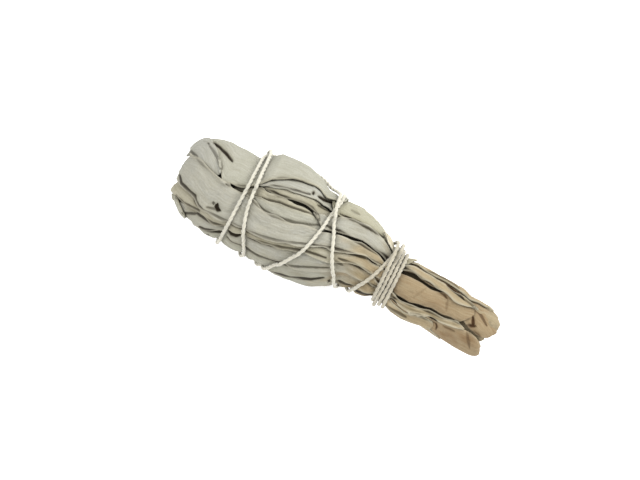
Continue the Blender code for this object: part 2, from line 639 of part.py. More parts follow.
def make_string(relief):
    """The tie string: a round cotton string along its whole route, as one tube."""
    s, turned = string_route(STRING_STEP / STRING_SAMPLES_PER_STEP)
    heights = string_heights(relief, s, turned)
    points = to_space(s, turned, heights)[::STRING_SAMPLES_PER_STEP] * MM
    curve = bpy.data.curves.new("tie_string", "CURVE")
    curve.dimensions = "3D"
    curve.bevel_depth = STRING_RADIUS * MM
    curve.bevel_resolution = 1
    curve.use_fill_caps = True
    spline = curve.splines.new("POLY")
    spline.points.add(len(points) - 1)
    for knot, place in zip(spline.points, points):
        knot.co = (*place, 1.0)
    curve.materials.append(material("tie_string_material", COTTON, 0.9))
    made = bpy.data.objects.new("tie_string", curve)
    bpy.context.scene.collection.objects.link(made)


def main():
    """Build the bunch from the inside out."""
    for old in list(bpy.data.objects):
        bpy.data.objects.remove(old)
    relief = Relief(string_route(ROUTE_STEP))
    make_sprigs(relief)
    make_leaves(relief)
    make_string(relief)


main()
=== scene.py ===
"""A small tied bunch of dried white sage, dressed for a close look.

Felted leaves lie lengthwise round four sprigs and are bound crosswise with a two-ply cotton string. Every piece takes
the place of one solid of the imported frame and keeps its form. Sizes are in millimetres unless a name says otherwise.

Places on the bunch are given in bundle coordinates: s, the distance from the cut stem end, which runs on over the
round head as an arc; psi, degrees round the bunch from the side that faces up and a little towards -Y; and rho, the
distance from the middle. A place that was read off the seen face is (s, c), where c is the sideways distance.
"""

import logging
import math
from collections.abc import Iterable, Iterator
from dataclasses import dataclass, field
from enum import Enum

import bmesh
import bpy
import numpy as np
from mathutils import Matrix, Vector


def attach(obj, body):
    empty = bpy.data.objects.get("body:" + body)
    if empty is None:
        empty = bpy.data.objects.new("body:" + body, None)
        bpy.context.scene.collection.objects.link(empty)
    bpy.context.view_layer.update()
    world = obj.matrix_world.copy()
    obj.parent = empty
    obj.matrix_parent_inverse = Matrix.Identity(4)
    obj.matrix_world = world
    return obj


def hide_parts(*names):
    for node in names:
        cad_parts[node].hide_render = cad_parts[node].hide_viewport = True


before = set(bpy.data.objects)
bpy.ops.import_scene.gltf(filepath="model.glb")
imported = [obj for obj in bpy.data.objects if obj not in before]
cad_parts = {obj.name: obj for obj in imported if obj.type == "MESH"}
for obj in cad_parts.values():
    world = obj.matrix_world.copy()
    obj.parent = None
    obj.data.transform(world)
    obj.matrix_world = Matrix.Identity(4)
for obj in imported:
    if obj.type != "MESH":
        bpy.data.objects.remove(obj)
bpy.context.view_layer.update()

LOG = logging.getLogger("sage_bunch")
MM = 0.001
BODY = "root"
# Vertex masks: painted shadow in the gaps, painted shade and dark spots beside them, painted edge highlight, stalk
# colour.
MASKS = ("deep_shade", "shade_and_mottle", "rim", "stalk")
WHITE = (1.0, 1.0, 1.0, 1.0)
GROOVE_STEP = 0.8
FIRST_SEED, SEED_STEP, FAR_SEED = 11, 20, 5
Colour = tuple[float, float, float]
Row = tuple[float, float, float]


def smooth_step(low: float, high: float, value: np.ndarray) -> np.ndarray:
    """Rise softly from 0 to 1.

    Args:
        low: Value up to which the result is 0.
        high: Value from which the result is 1. It may be the smaller one.
        value: Where to read the curve.

    Returns:
        The curve at each value.
    """
    part = np.clip((value - low) / (high - low), 0.0, 1.0)
    return part * part * (3.0 - 2.0 * part)


def smooth_curve(knots: np.ndarray, values: np.ndarray, places: np.ndarray) -> np.ndarray:
    """Read a curve that passes through its knots with a continuous slope.

    Args:
        knots: Rising positions of the knots.
        values: Value at each knot.
        places: Positions to read.

    Returns:
        The curve at each place.
    """
    slopes = np.gradient(values, knots)
    span = np.clip(np.searchsorted(knots, places, side="right") - 1, 0, len(knots) - 2)
    width = knots[span + 1] - knots[span]
    part = (places - knots[span]) / width
    rise = 3 * part**2 - 2 * part**3
    leaving = (part**3 - 2 * part**2 + part) * width * slopes[span]
    arriving = (part**3 - part**2) * width * slopes[span + 1]
    return (1 - rise) * values[span] + rise * values[span + 1] + leaving + arriving


def set_inputs(node: bpy.types.Node, values: dict[str, object]) -> None:
    """Set a node's own values by the names of its inputs."""
    for name, value in values.items():
        node.inputs[name].default_value = value


def to_scene(name: str, content: object) -> bpy.types.Object:
    """Make an object of a mesh, curve, light or camera and put it in the scene."""
    made = bpy.data.objects.new(name, content)
    bpy.context.scene.collection.objects.link(made)
    return made


def to_mesh(name: str, shape: bmesh.types.BMesh) -> bpy.types.Mesh:
    """Turn a finished bmesh into a smooth mesh and let it go.

    Args:
        name: Name of the mesh.
        shape: The finished shape, which is freed.

    Returns:
        The new mesh.
    """
    mesh = bpy.data.meshes.new(name)
    shape.to_mesh(mesh)
    shape.free()
    mesh.shade_smooth()
    return mesh


def grid_places(verts: Iterable, rows: int, columns: int) -> Iterator[tuple[bmesh.types.BMVert, int, int]]:
    """Each vertex of a new grid that is 1 wide, with its row and column."""
    for vertex in verts:
        yield vertex, round((vertex.co.y + 0.5) * rows), round((vertex.co.x + 0.5) * columns)


class Waves:
    """A smooth random surface made of a few crossed waves."""

    def __init__(self, seed: int, length: float, breadth: float, count: int = 7) -> None:
        """Draw the waves.

        Args:
            seed: Seed of the draw.
            length: Typical wavelength along the first coordinate.
            breadth: Typical wavelength along the second coordinate.
            count: Number of waves.
        """
        draw = np.random.default_rng(seed)
        self.first = 2 * math.pi / (length * draw.uniform(0.6, 1.7, count)) * draw.choice((-1, 1), count)
        self.second = 2 * math.pi / (breadth * draw.uniform(0.6, 1.7, count)) * draw.choice((-1, 1), count)
        self.phase = draw.uniform(0, 2 * math.pi, count)

    def at(self, first: np.ndarray, second: np.ndarray) -> np.ndarray:
        """Read the surface, which mostly lies between -1 and 1.

        Args:
            first: First coordinates.
            second: Second coordinates.

        Returns:
            The surface's height at each place.
        """
        first, second = np.broadcast_arrays(np.asarray(first, float), np.asarray(second, float))
        turned = first[..., None] * self.first + second[..., None] * self.second + self.phase
        return np.sin(turned).sum(axis=-1) / math.sqrt(len(self.phase))


@dataclass(frozen=True)
class BunchForm:
    """The overall form of the bunch and the change between its coordinates and space."""

    stem_x: float = 51.5
    section_lean: float = 0.2
    face_shortening: float = 0.0024
    axis_y: float = -1.3
    axis_height: float = 15.0
    face_tilt: float = 19.1
    dome_start: float = 88.5
    dome_radius: float = 12.8
    dome_fullness: float = 0.10
    rest_from: float = 54.5
    rest_to: float = 66.0
    rest_half_angle: float = 27.0
    rest_fade_around: float = 6.0
    rest_fade_to_stem: float = 3.0
    rest_fade_to_head: float = 1.5
    string_clearance: float = 2.2
    keel_lead: float = 9.0
    keel_near: float = 0.5
    keel_full: float = 80.0
    keel_end: float = 92.0
    keel_reach: float = 2.4
    least_drop: float = 0.2
    profile: tuple[Row, ...] = (
        (-4, 6.4, 1.6), (0, 6.8, 1.6), (3, 7.05, 1.5), (6, 7.4, 1.0), (9, 7.4, 0.9), (11.5, 7.3, 0.9),
        (14.3, 7.6, 0.45), (17, 7.5, 0.2), (20, 7.4, -0.1), (23, 7.6, 0.25), (25.7, 7.8, 0.4), (28.5, 7.7, 0.2),
        (31.4, 7.2, 0.2), (34.2, 7.3, 0.2), (37.1, 8.9, -0.1), (40, 10.1, -0.6), (42.8, 10.8, -1.3),
        (45.6, 11.6, -1.5), (48.5, 12.7, -0.9), (51.3, 13.3, -0.4), (54.2, 13.5, 0.0), (57, 13.4, 0.5),
        (59.9, 14.0, 0.6), (62.7, 14.9, 0.1), (65.5, 15.4, -0.3), (68.4, 15.5, -0.8), (71.2, 15.6, -0.9),
        (74.1, 15.5, -0.7), (76.9, 15.3, -0.6), (79.8, 14.2, 0.2), (82.6, 13.1, 1.1), (85.5, 13.3, 1.1),
        (88.5, 12.9, 0.8),
    )

    @property
    def rest_direction(self) -> float:
        """Direction of straight down, in degrees round the bunch."""
        return 180.0 - self.face_tilt

    def column(self, number: int) -> np.ndarray:
        """One column of the profile."""
        return np.array(self.profile)[:, number]

    def radius(self, s: np.ndarray) -> np.ndarray:
        """Plain radius of the bunch at a distance from the stem end."""
        return np.interp(s, self.column(0), self.column(1))

    def offset(self, s: np.ndarray) -> np.ndarray:
        """Sideways offset of the bunch's middle at a distance from the stem end."""
        return np.interp(s, self.column(0), self.column(2))

    def bend(self, s: np.ndarray) -> np.ndarray:
        """Angle by which the surface has turned over the head, in radians."""
        return np.clip((s - self.dome_start) / self.dome_radius, 0.0, math.pi / 2)

    def to_space(self, s: np.ndarray, psi: np.ndarray, rho: np.ndarray) -> np.ndarray:
        """Turn bundle coordinates into points.

        Args:
            s: Distance from the stem end.
            psi: Degrees round the bunch.
            rho: Distance from the middle.

        Returns:
            Points, with x, y and z last.
        """
        s, psi, rho = np.broadcast_arrays(np.asarray(s, float), np.radians(psi), np.asarray(rho, float))
        bend = self.bend(s)
        along = np.minimum(s, self.dome_start) + rho * np.sin(bend)
        out = rho * np.cos(bend)
        return self.place(along, out * np.cos(psi), out * np.sin(psi) + self.offset(s))

    def place(self, along: np.ndarray, forward: np.ndarray, sideways: np.ndarray) -> np.ndarray:
        """Turn a length, a height towards the seen face and a sideways distance into points.

        The cross-sections lean, with their upper side nearer to the stem end, and the seen face is a little
        shorter than the middle.

        Args:
            along: Distance from the stem end.
            forward: Height over the middle, towards the seen face.
            sideways: Distance to the side.

        Returns:
            Points, with x, y and z last.
        """
        tilt = math.radians(self.face_tilt)
        x = (self.stem_x - along) * (1 - self.face_shortening * forward) + self.section_lean * forward
        y = self.axis_y - forward * math.sin(tilt) - sideways * math.cos(tilt)
        z = self.axis_height + forward * math.cos(tilt) - sideways * math.sin(tilt)
        return np.stack(np.broadcast_arrays(x, y, z), axis=-1)

    def sideways(self, s: np.ndarray, psi: np.ndarray, rho: np.ndarray) -> np.ndarray:
        """Sideways distance c of a place, as it is seen from straight above the face."""
        return rho * np.cos(self.bend(s)) * np.sin(np.radians(psi)) + self.offset(s)


class Relief:
    """The bunch's outline and the height reached so far, on a fine grid over its skin."""

    s_from = -6.0
    s_to = 110.0
    s_step = 0.4
    psi_step = 1.5
    groove_depth = 0.8
    groove_width = 1.5
    groove_reach = 3
    cell_parts = 3

    def __init__(self, form: BunchForm, route: tuple[np.ndarray, np.ndarray]) -> None:
        """Lay out the outline, press the string into it and flatten its underside.

        Args:
            form: The overall form.
            route: The string's route as distances from the stem end and degrees turned.
        """
        self.form = form
        self.s = np.arange(self.s_from, self.s_to, self.s_step)
        self.psi = np.arange(0.0, 360.0, self.psi_step)
        s = self.s[:, None] * np.ones(len(self.psi))
        psi = self.psi[None, :] * np.ones((len(self.s), 1))
        bend = form.bend(s)
        radius = form.radius(s) * (1 + form.dome_fullness * np.sin(2 * bend) ** 2)
        down = np.cos(np.radians(psi - form.rest_direction)) * np.cos(bend)
        middle = form.axis_height - form.offset(s) * math.sin(math.radians(form.face_tilt))
        turned = np.abs((psi - form.rest_direction + 180.0) % 360.0 - 180.0)
        half = form.rest_half_angle
        flat = smooth_step(half + form.rest_fade_around, half, turned)
        flat = flat * smooth_step(form.rest_from - form.rest_fade_to_stem, form.rest_from, s)
        flat = flat * smooth_step(form.rest_to + form.rest_fade_to_head, form.rest_to, s)
        floor = (middle - form.string_clearance * (1 - flat)) / np.maximum(down, form.least_drop)
        keel = smooth_step(form.rest_from - form.keel_lead, form.rest_from - form.keel_near, s)
        keel = keel * smooth_step(form.keel_end, form.keel_full, s)
        keel = keel * smooth_step(form.keel_reach * half, half, turned)
        radius = radius + keel * np.maximum(floor - radius, 0.0)
        self.outline = np.minimum(radius - self.groove(s, psi, route) * (1 - flat), floor)
        self.height = np.zeros_like(self.outline)

    def groove(self, s: np.ndarray, psi: np.ndarray, route: tuple[np.ndarray, np.ndarray]) -> np.ndarray:
        """Press the string in along its route.

        Args:
            s: The grid's distances from the stem end.
            psi: Its degrees round the bunch.
            route: The string's route as distances from the stem end and degrees turned.

        Returns:
            How deep the string is pressed in at each place of the grid.
        """
        groove = np.zeros_like(s)
        for place, angle in zip(*route):
            window = np.abs(self.s - place) < self.groove_reach * self.groove_width
            turned = np.radians((psi[window] - angle + 180.0) % 360.0 - 180.0)
            distance = np.hypot(s[window] - place, turned * self.form.dome_radius)
            depth = self.groove_depth * np.exp(-((distance / self.groove_width) ** 2))
            groove[window] = np.maximum(groove[window], depth)
        return groove

    def read(self, grid: np.ndarray, s: np.ndarray, psi: np.ndarray) -> np.ndarray:
        """Read a grid between its points.

        Args:
            grid: Outline, height or another grid of their shape.
            s: Distances from the stem end.
            psi: Degrees round the bunch.

        Returns:
            The value at each place.
        """
        row = np.clip((np.asarray(s, float) - self.s[0]) / self.s_step, 0, len(self.s) - 1.001)
        column = (np.asarray(psi, float) % 360.0) / self.psi_step
        r, c = row.astype(int), column.astype(int) % len(self.psi)
        fr, fc = row - r, column - column.astype(int)
        after = (c + 1) % len(self.psi)
        near = grid[r, c] * (1 - fc) + grid[r, after] * fc
        far = grid[r + 1, c] * (1 - fc) + grid[r + 1, after] * fc
        return near * (1 - fr) + far * fr

    def spread(self) -> np.ndarray:
        """The height with every peak widened by one cell."""
        down = np.maximum(self.height, np.maximum(np.roll(self.height, 1, 0), np.roll(self.height, -1, 0)))
        return np.maximum(down, np.maximum(np.roll(down, 1, 1), np.roll(down, -1, 1)))

    def soften(self, grid: np.ndarray, passes: int) -> np.ndarray:
        """Draw each place of a grid towards its neighbours.

        Args:
            grid: Grid of the relief's shape.
            passes: How many times it is done.

        Returns:
            The calmer grid.
        """
        for _ in range(passes):
            grid = (grid + 0.5 * (np.roll(grid, 1, 0) + np.roll(grid, -1, 0))) / 2
            grid = (grid + 0.5 * (np.roll(grid, 1, 1) + np.roll(grid, -1, 1))) / 2
        return grid

    def add(self, s: np.ndarray, psi: np.ndarray, rho: np.ndarray) -> None:
        """Raise the height to a sheet's upper face.

        Args:
            s: The sheet's grid of distances from the stem end.
            psi: Its grid of degrees round the bunch.
            rho: Its grid of heights.
        """
        parts = np.linspace(0, 1, self.cell_parts + 1)[:-1]
        for along in parts:
            for across in parts:
                corner = [self.between(grid, along, across) for grid in (s, psi, rho)]
                row = np.clip(np.rint((corner[0] - self.s[0]) / self.s_step).astype(int), 0, len(self.s) - 1)
                column = np.rint((corner[1] % 360.0) / self.psi_step).astype(int) % len(self.psi)
                np.maximum.at(self.height, (row, column), corner[2])

    @staticmethod
    def between(grid: np.ndarray, along: float, across: float) -> np.ndarray:
        """Read a grid part of the way from each point to the next ones.

        Args:
            grid: Any grid of a sheet.
            along: Share of the way to the next row.
            across: Share of the way to the next column.

        Returns:
            A grid with one row and one column fewer.
        """
        near = grid[:-1, :-1] * (1 - across) + grid[:-1, 1:] * across
        far = grid[1:, :-1] * (1 - across) + grid[1:, 1:] * across
        return near * (1 - along) + far * along


@dataclass(frozen=True)
class Crease:
    """A gap or fold line on the seen face, pressed in and painted dark as its shadow."""

    points: tuple[tuple[float, float], ...]
    width: float = 0.6
    darkness: float = 0.9
    depth: float = 0.25
    end_share: float = 0.5
    middle_share: float = 0.65
    taper_power: float = 0.6

    def distance(self, s: np.ndarray, c: np.ndarray) -> np.ndarray:
        """How far places lie from the line.

        Args:
            s: Distances from the stem end.
            c: Sideways distances.

        Returns:
            The distance from the line, as a share of its width, which tapers to the line's ends.
        """
        best = np.full(s.shape, 1e9)
        line = np.array(self.points, float)
        walk = np.concatenate([[0], np.cumsum(np.linalg.norm(np.diff(line, axis=0), axis=1))])
        for start, end, before, after in zip(line[:-1], line[1:], walk[:-1], walk[1:]):
            run = end - start
            part = ((s - start[0]) * run[0] + (c - start[1]) * run[1]) / max(float(run @ run), 1e-9)
            part = np.clip(part, 0.0, 1.0)
            away = np.hypot(s - start[0] - part * run[0], c - start[1] - part * run[1])
            along = (before + part * (after - before)) / walk[-1]
            swell = np.sin(np.pi * np.clip(along, 0.0, 1.0)) ** self.taper_power
            taper = self.end_share + self.middle_share * swell
            best = np.minimum(best, away / (self.width * taper))
        return best


CREASES = (
    Crease(((87.5, -1.3), (85, -1.9), (83.5, -2.5), (82, -3.4)), 0.5, 0.9, 0.6),
    Crease(((84.5, -1.5), (82, -1.3), (80.5, -1.1)), 0.5, 0.6),
    Crease(((96.4, -9.8), (94.2, -9.6), (92, -8.9), (90.5, -8.3), (89, -7.7)), 0.46, 1.0, 0.8),
    Crease(((97.7, -9.0), (97.5, -9.0)), 0.45, 0.8),
    Crease(((97.0, -8.5), (95.3, -7.7), (93.1, -6.4), (90.7, -4.6)), 0.45, 0.45),
    Crease(((101.4, -5.0), (99.9, -4.2), (98.6, -4.1)), 0.5, 0.65),
    Crease(((98.6, -3.6), (95.3, -3.0), (92, -2.3), (90, -1.7)), 0.55, 0.3),
    Crease(((79, -4.9), (77.2, -5), (73.8, -5.4), (70.4, -5.7), (67, -6.3), (64.7, -6.5)), 0.5, 1.0, 0.5),
    Crease(((67, -6.4), (64.7, -6.6), (62.4, -6.4), (60.4, -5.7), (59, -4.5)), 0.62, 1.0, 0.6),
    Crease(((78.5, -6.2), (77.2, -7.6), (74.9, -9.3), (72.6, -10.5), (70.4, -11.3), (68.1, -11.9),
            (65.1, -12.2)), 0.45, 0.75),
    Crease(((78.5, -5.3), (76.5, -6.2), (74.9, -7.1), (72.6, -7.7), (70.4, -8.3), (68.1, -8.9), (65.8, -9.4),
            (64.7, -9.7)), 0.4, 0.8),
    Crease(((64.2, -10.9), (64, -10.1)), 0.45, 1.0, 0.6),
    Crease(((62.4, -10.3), (60.4, -10.3), (57.9, -10.6)), 0.42, 1.0, 0.5),
    Crease(((61.3, -8.1), (59.4, -8.2), (57.6, -8.2)), 0.4, 0.8),
    Crease(((54.7, -8.9), (49.1, -9.2), (44.8, -9.15), (40.4, -8.9)), 0.42, 0.95, 0.4),
    Crease(((56.7, -4.3), (54.5, -4.4), (53, -4.6)), 0.35, 0.8),
    Crease(((53.4, -4.65), (49.1, -4.5), (44.8, -4.5), (41.5, -4.5), (38, -4.4), (34.5, -4.4), (31.5, -4.4),
            (28.9, -4.1), (26, -4.0)), 0.62, 1.0, 0.7),
    Crease(((26, -4), (22.9, -3.7), (20.5, -3.3), (18.4, -3.0), (17.2, -2.4)), 0.42, 0.75, 0.4),
    Crease(((77.9, -2.2), (74.9, -2.8), (71.5, -3.6), (68.1, -4), (64.7, -4.6), (61.7, -5.3)), 0.42, 0.75),
    Crease(((80.5, -1.1), (78.1, -0.6), (74.2, 0.2), (71.5, 0.3), (68.1, -0.2), (64.7, -1), (62.4, -1.75),
            (60.1, -2.6), (58.3, -3.6)), 0.42, 0.6),
    Crease(((100.7, 2.7), (99.2, 4.4), (97, 5.1), (94, 5.7), (93.1, 6.8), (91.8, 7.6), (90, 8)), 0.5, 0.9, 0.4),
    Crease(((90, 8), (84.4, 7.7), (80, 7.5), (74.9, 7.2), (71.5, 6.8), (68.1, 6), (64.7, 5.1), (60.1, 3.1),
            (57.9, 2.2)), 0.45, 0.6),
    Crease(((57.9, 2.2), (55.6, 1.5), (52.6, 0.5), (50.4, -0.1), (48, -0.5), (44.8, -1.1), (41.5, -1.8),
            (37.4, -2)), 0.42, 0.85),
    Crease(((88.3, 4.7), (87.9, 5.3)), 0.35, 0.7),
    Crease(((87.0, 4.7), (86.8, 5.6), (86.1, 6.0), (85.4, 6.0)), 0.62, 1.0, 0.8),
    Crease(((89.4, 6.9), (87.5, 6.4), (86.4, 6.2)), 0.35, 0.6),
    Crease(((80.3, 9.8), (79.2, 10.1), (77.9, 9.9), (76.8, 9.1)), 0.5, 1.0, 0.5),
    Crease(((75.4, 8.5), (72.6, 8.5), (70.4, 8.1), (68.1, 7.7), (64.7, 6.7), (61.3, 5.6), (58.5, 4.6),
            (55.6, 4), (52.2, 3.5)), 0.42, 0.85),
    Crease(((79.9, 11.5), (78.1, 12), (74.9, 11.5), (71.5, 11.8), (69.2, 11.8), (66.7, 11.3), (64.2, 10.8),
            (61.3, 10.5), (59, 9.7), (55.6, 8.1), (52.2, 6.5), (50.1, 5.4)), 0.34, 0.7),
    Crease(((67, 14.5), (63.5, 14.4), (61.3, 13.7), (58.3, 13.2), (54.7, 11.4), (53.1, 10.75),
            (50.1, 8.6)), 0.42, 0.95, 0.4),
    Crease(((79.9, 13.4), (77.2, 14.5), (73.3, 13.8)), 0.5, 0.8),
    Crease(((48.5, 8.7), (48.1, 8.7)), 0.5, 1.0),
    Crease(((49.1, 2), (44.8, 1.5), (41.5, 1.3), (39.3, 1.3)), 0.42, 0.8),
    Crease(((49.6, 3.1), (47, 3.1)), 0.35, 0.6),
    Crease(((38.5, 4.1), (36.7, 4.1), (35.9, 4)), 0.42, 0.9),
    Crease(((46.1, 7.4), (43.7, 7.3), (42, 6.7)), 0.4, 0.85),
    Crease(((40.7, 7.6), (37.8, 7.4), (35.2, 6.5)), 0.45, 0.95),
    Crease(((98.8, 8.1), (98.1, 8.7), (96, 8.8)), 0.5, 1.0, 0.4),
    Crease(((96, 8.8), (93.1, 8.9), (91, 8.8), (90.4, 9.6), (88.8, 9.9), (85.5, 10), (82.3, 9.2)), 0.45, 0.85),
    Crease(((94.7, 11.7), (92.3, 10.5), (90.7, 9.7)), 0.4, 0.8),
    Crease(((88.3, 12.8), (86.6, 12.8), (84.4, 12), (82, 11.1)), 0.5, 0.95, 0.4),
    Crease(((85.5, 13.9), (84.6, 13.8)), 0.4, 0.8),
    Crease(((52.4, -11.3), (49.6, -11.3)), 0.35, 0.35),
    Crease(((40, -8.4), (38.3, -7.3), (36.7, -6.4)), 0.4, 0.5),
    Crease(((18.9, -5.6), (15.3, -5), (12.9, -4.4)), 0.42, 1.0, 0.5),
    Crease(((13.6, -5.6), (12.2, -5.1)), 0.35, 0.7),
    Crease(((12.9, -4.4), (10.8, -4.3), (9.1, -3.7), (7.4, -3.1), (5.8, -2.1), (4.1, -1)), 0.42, 0.65, 0.4),
    Crease(((26.2, -6.3), (23.4, -6.9), (19.3, -7.1), (15.5, -6.4)), 0.35, 0.6),
    Crease(((31, 4.5), (28.1, 4), (25.3, 3.9), (22.9, 3.2), (19.3, 2.9), (15.5, 2.6), (13.4, 2),
            (9.1, 1.7)), 0.5, 0.95, 0.5),
    Crease(((9.1, 1.7), (7.4, 0.7), (8.6, -1.4)), 0.45, 0.95, 0.6),
    Crease(((9.1, 1.7), (6.7, 0.5)), 0.45, 0.9, 0.4),
    Crease(((24.1, 5.8), (21.7, 5.2), (19.3, 5), (16.7, 4.5), (15.9, 5.3), (15.8, 6.2)), 0.45, 0.9, 0.4),
    Crease(((14.5, 4.4), (11, 4.3)), 0.35, 0.6),
    Crease(((31.2, 7.4), (24.6, 7.4)), 0.45, 0.7),
    Crease(((9.1, 2.4), (7.2, 2.5), (5, 2.4), (3.9, 2.7)), 0.5, 0.9, 0.5),
    Crease(((8.2, 2.8), (6.8, 4.5), (5.3, 6.2)), 0.45, 0.5),
    Crease(((25.5, 1.9), (24.4, -0.4), (23.6, -2.1)), 0.3, 0.18, 0.0),
    Crease(((16.8, -2.2), (16.4, -0.8), (15.8, 0.6)), 0.35, 0.3, 0.1),
)


@dataclass(frozen=True)
class DarkSpot:
    """A darker patch on the seen face, mixed into the painted shade beside the gaps."""

    s: float
    c: float
    length: float
    breadth: float
    strength: float


DARK_SPOTS = (
    DarkSpot(1.4, -1.8, 1.6, 2.0, 0.4), DarkSpot(7.0, 4.4, 3.2, 1.3, 0.75), DarkSpot(12.0, 6.3, 3.0, 1.5, 0.6),
    DarkSpot(17.5, 3.7, 3.0, 0.8, 0.7), DarkSpot(26.0, 4.9, 4.5, 0.9, 0.6), DarkSpot(21.0, -6.5, 4.0, 0.8, 0.9),
    DarkSpot(19.5, 0.4, 3.5, 1.6, 0.3), DarkSpot(4.5, -3.2, 2.6, 1.4, 0.3), DarkSpot(44.0, 3.4, 4.5, 0.9, 0.55),
    DarkSpot(46.0, -3.0, 4.0, 0.9, 0.45), DarkSpot(92.0, 9.7, 3.0, 0.8, 0.6), DarkSpot(41.0, 5.8, 3.0, 1.2, 0.4),
    DarkSpot(56.0, 11.4, 5.0, 1.3, 0.4), DarkSpot(70.0, 7.7, 6.0, 0.6, 0.5), DarkSpot(38.0, -2.4, 3.0, 1.0, 0.3),
    DarkSpot(58.5, 10.2, 9.0, 0.9, 0.2), DarkSpot(28.5, 3.2, 5.0, 0.9, 0.35),
)


class Grow(Enum):
    """Which side of the bunch a leaf lies on, which sets how finely it is made."""

    FRONT = 0.27
    BACK = 0.7


@dataclass(frozen=True)
class LeafPlan:
    """One wrapped leaf: where it lies and how it is curled."""

    node: str
    finish: str
    depth: float
    rows: tuple[Row, ...]
    side: Grow = Grow.FRONT
    camber: float = 0.45
    nose: float = 0.0
    ripple: float = 0.08
    waver: float = 0.14
    tip_round: float = 1.5
    stalk_from: float = 54.0
    head_rise: float = 0.0


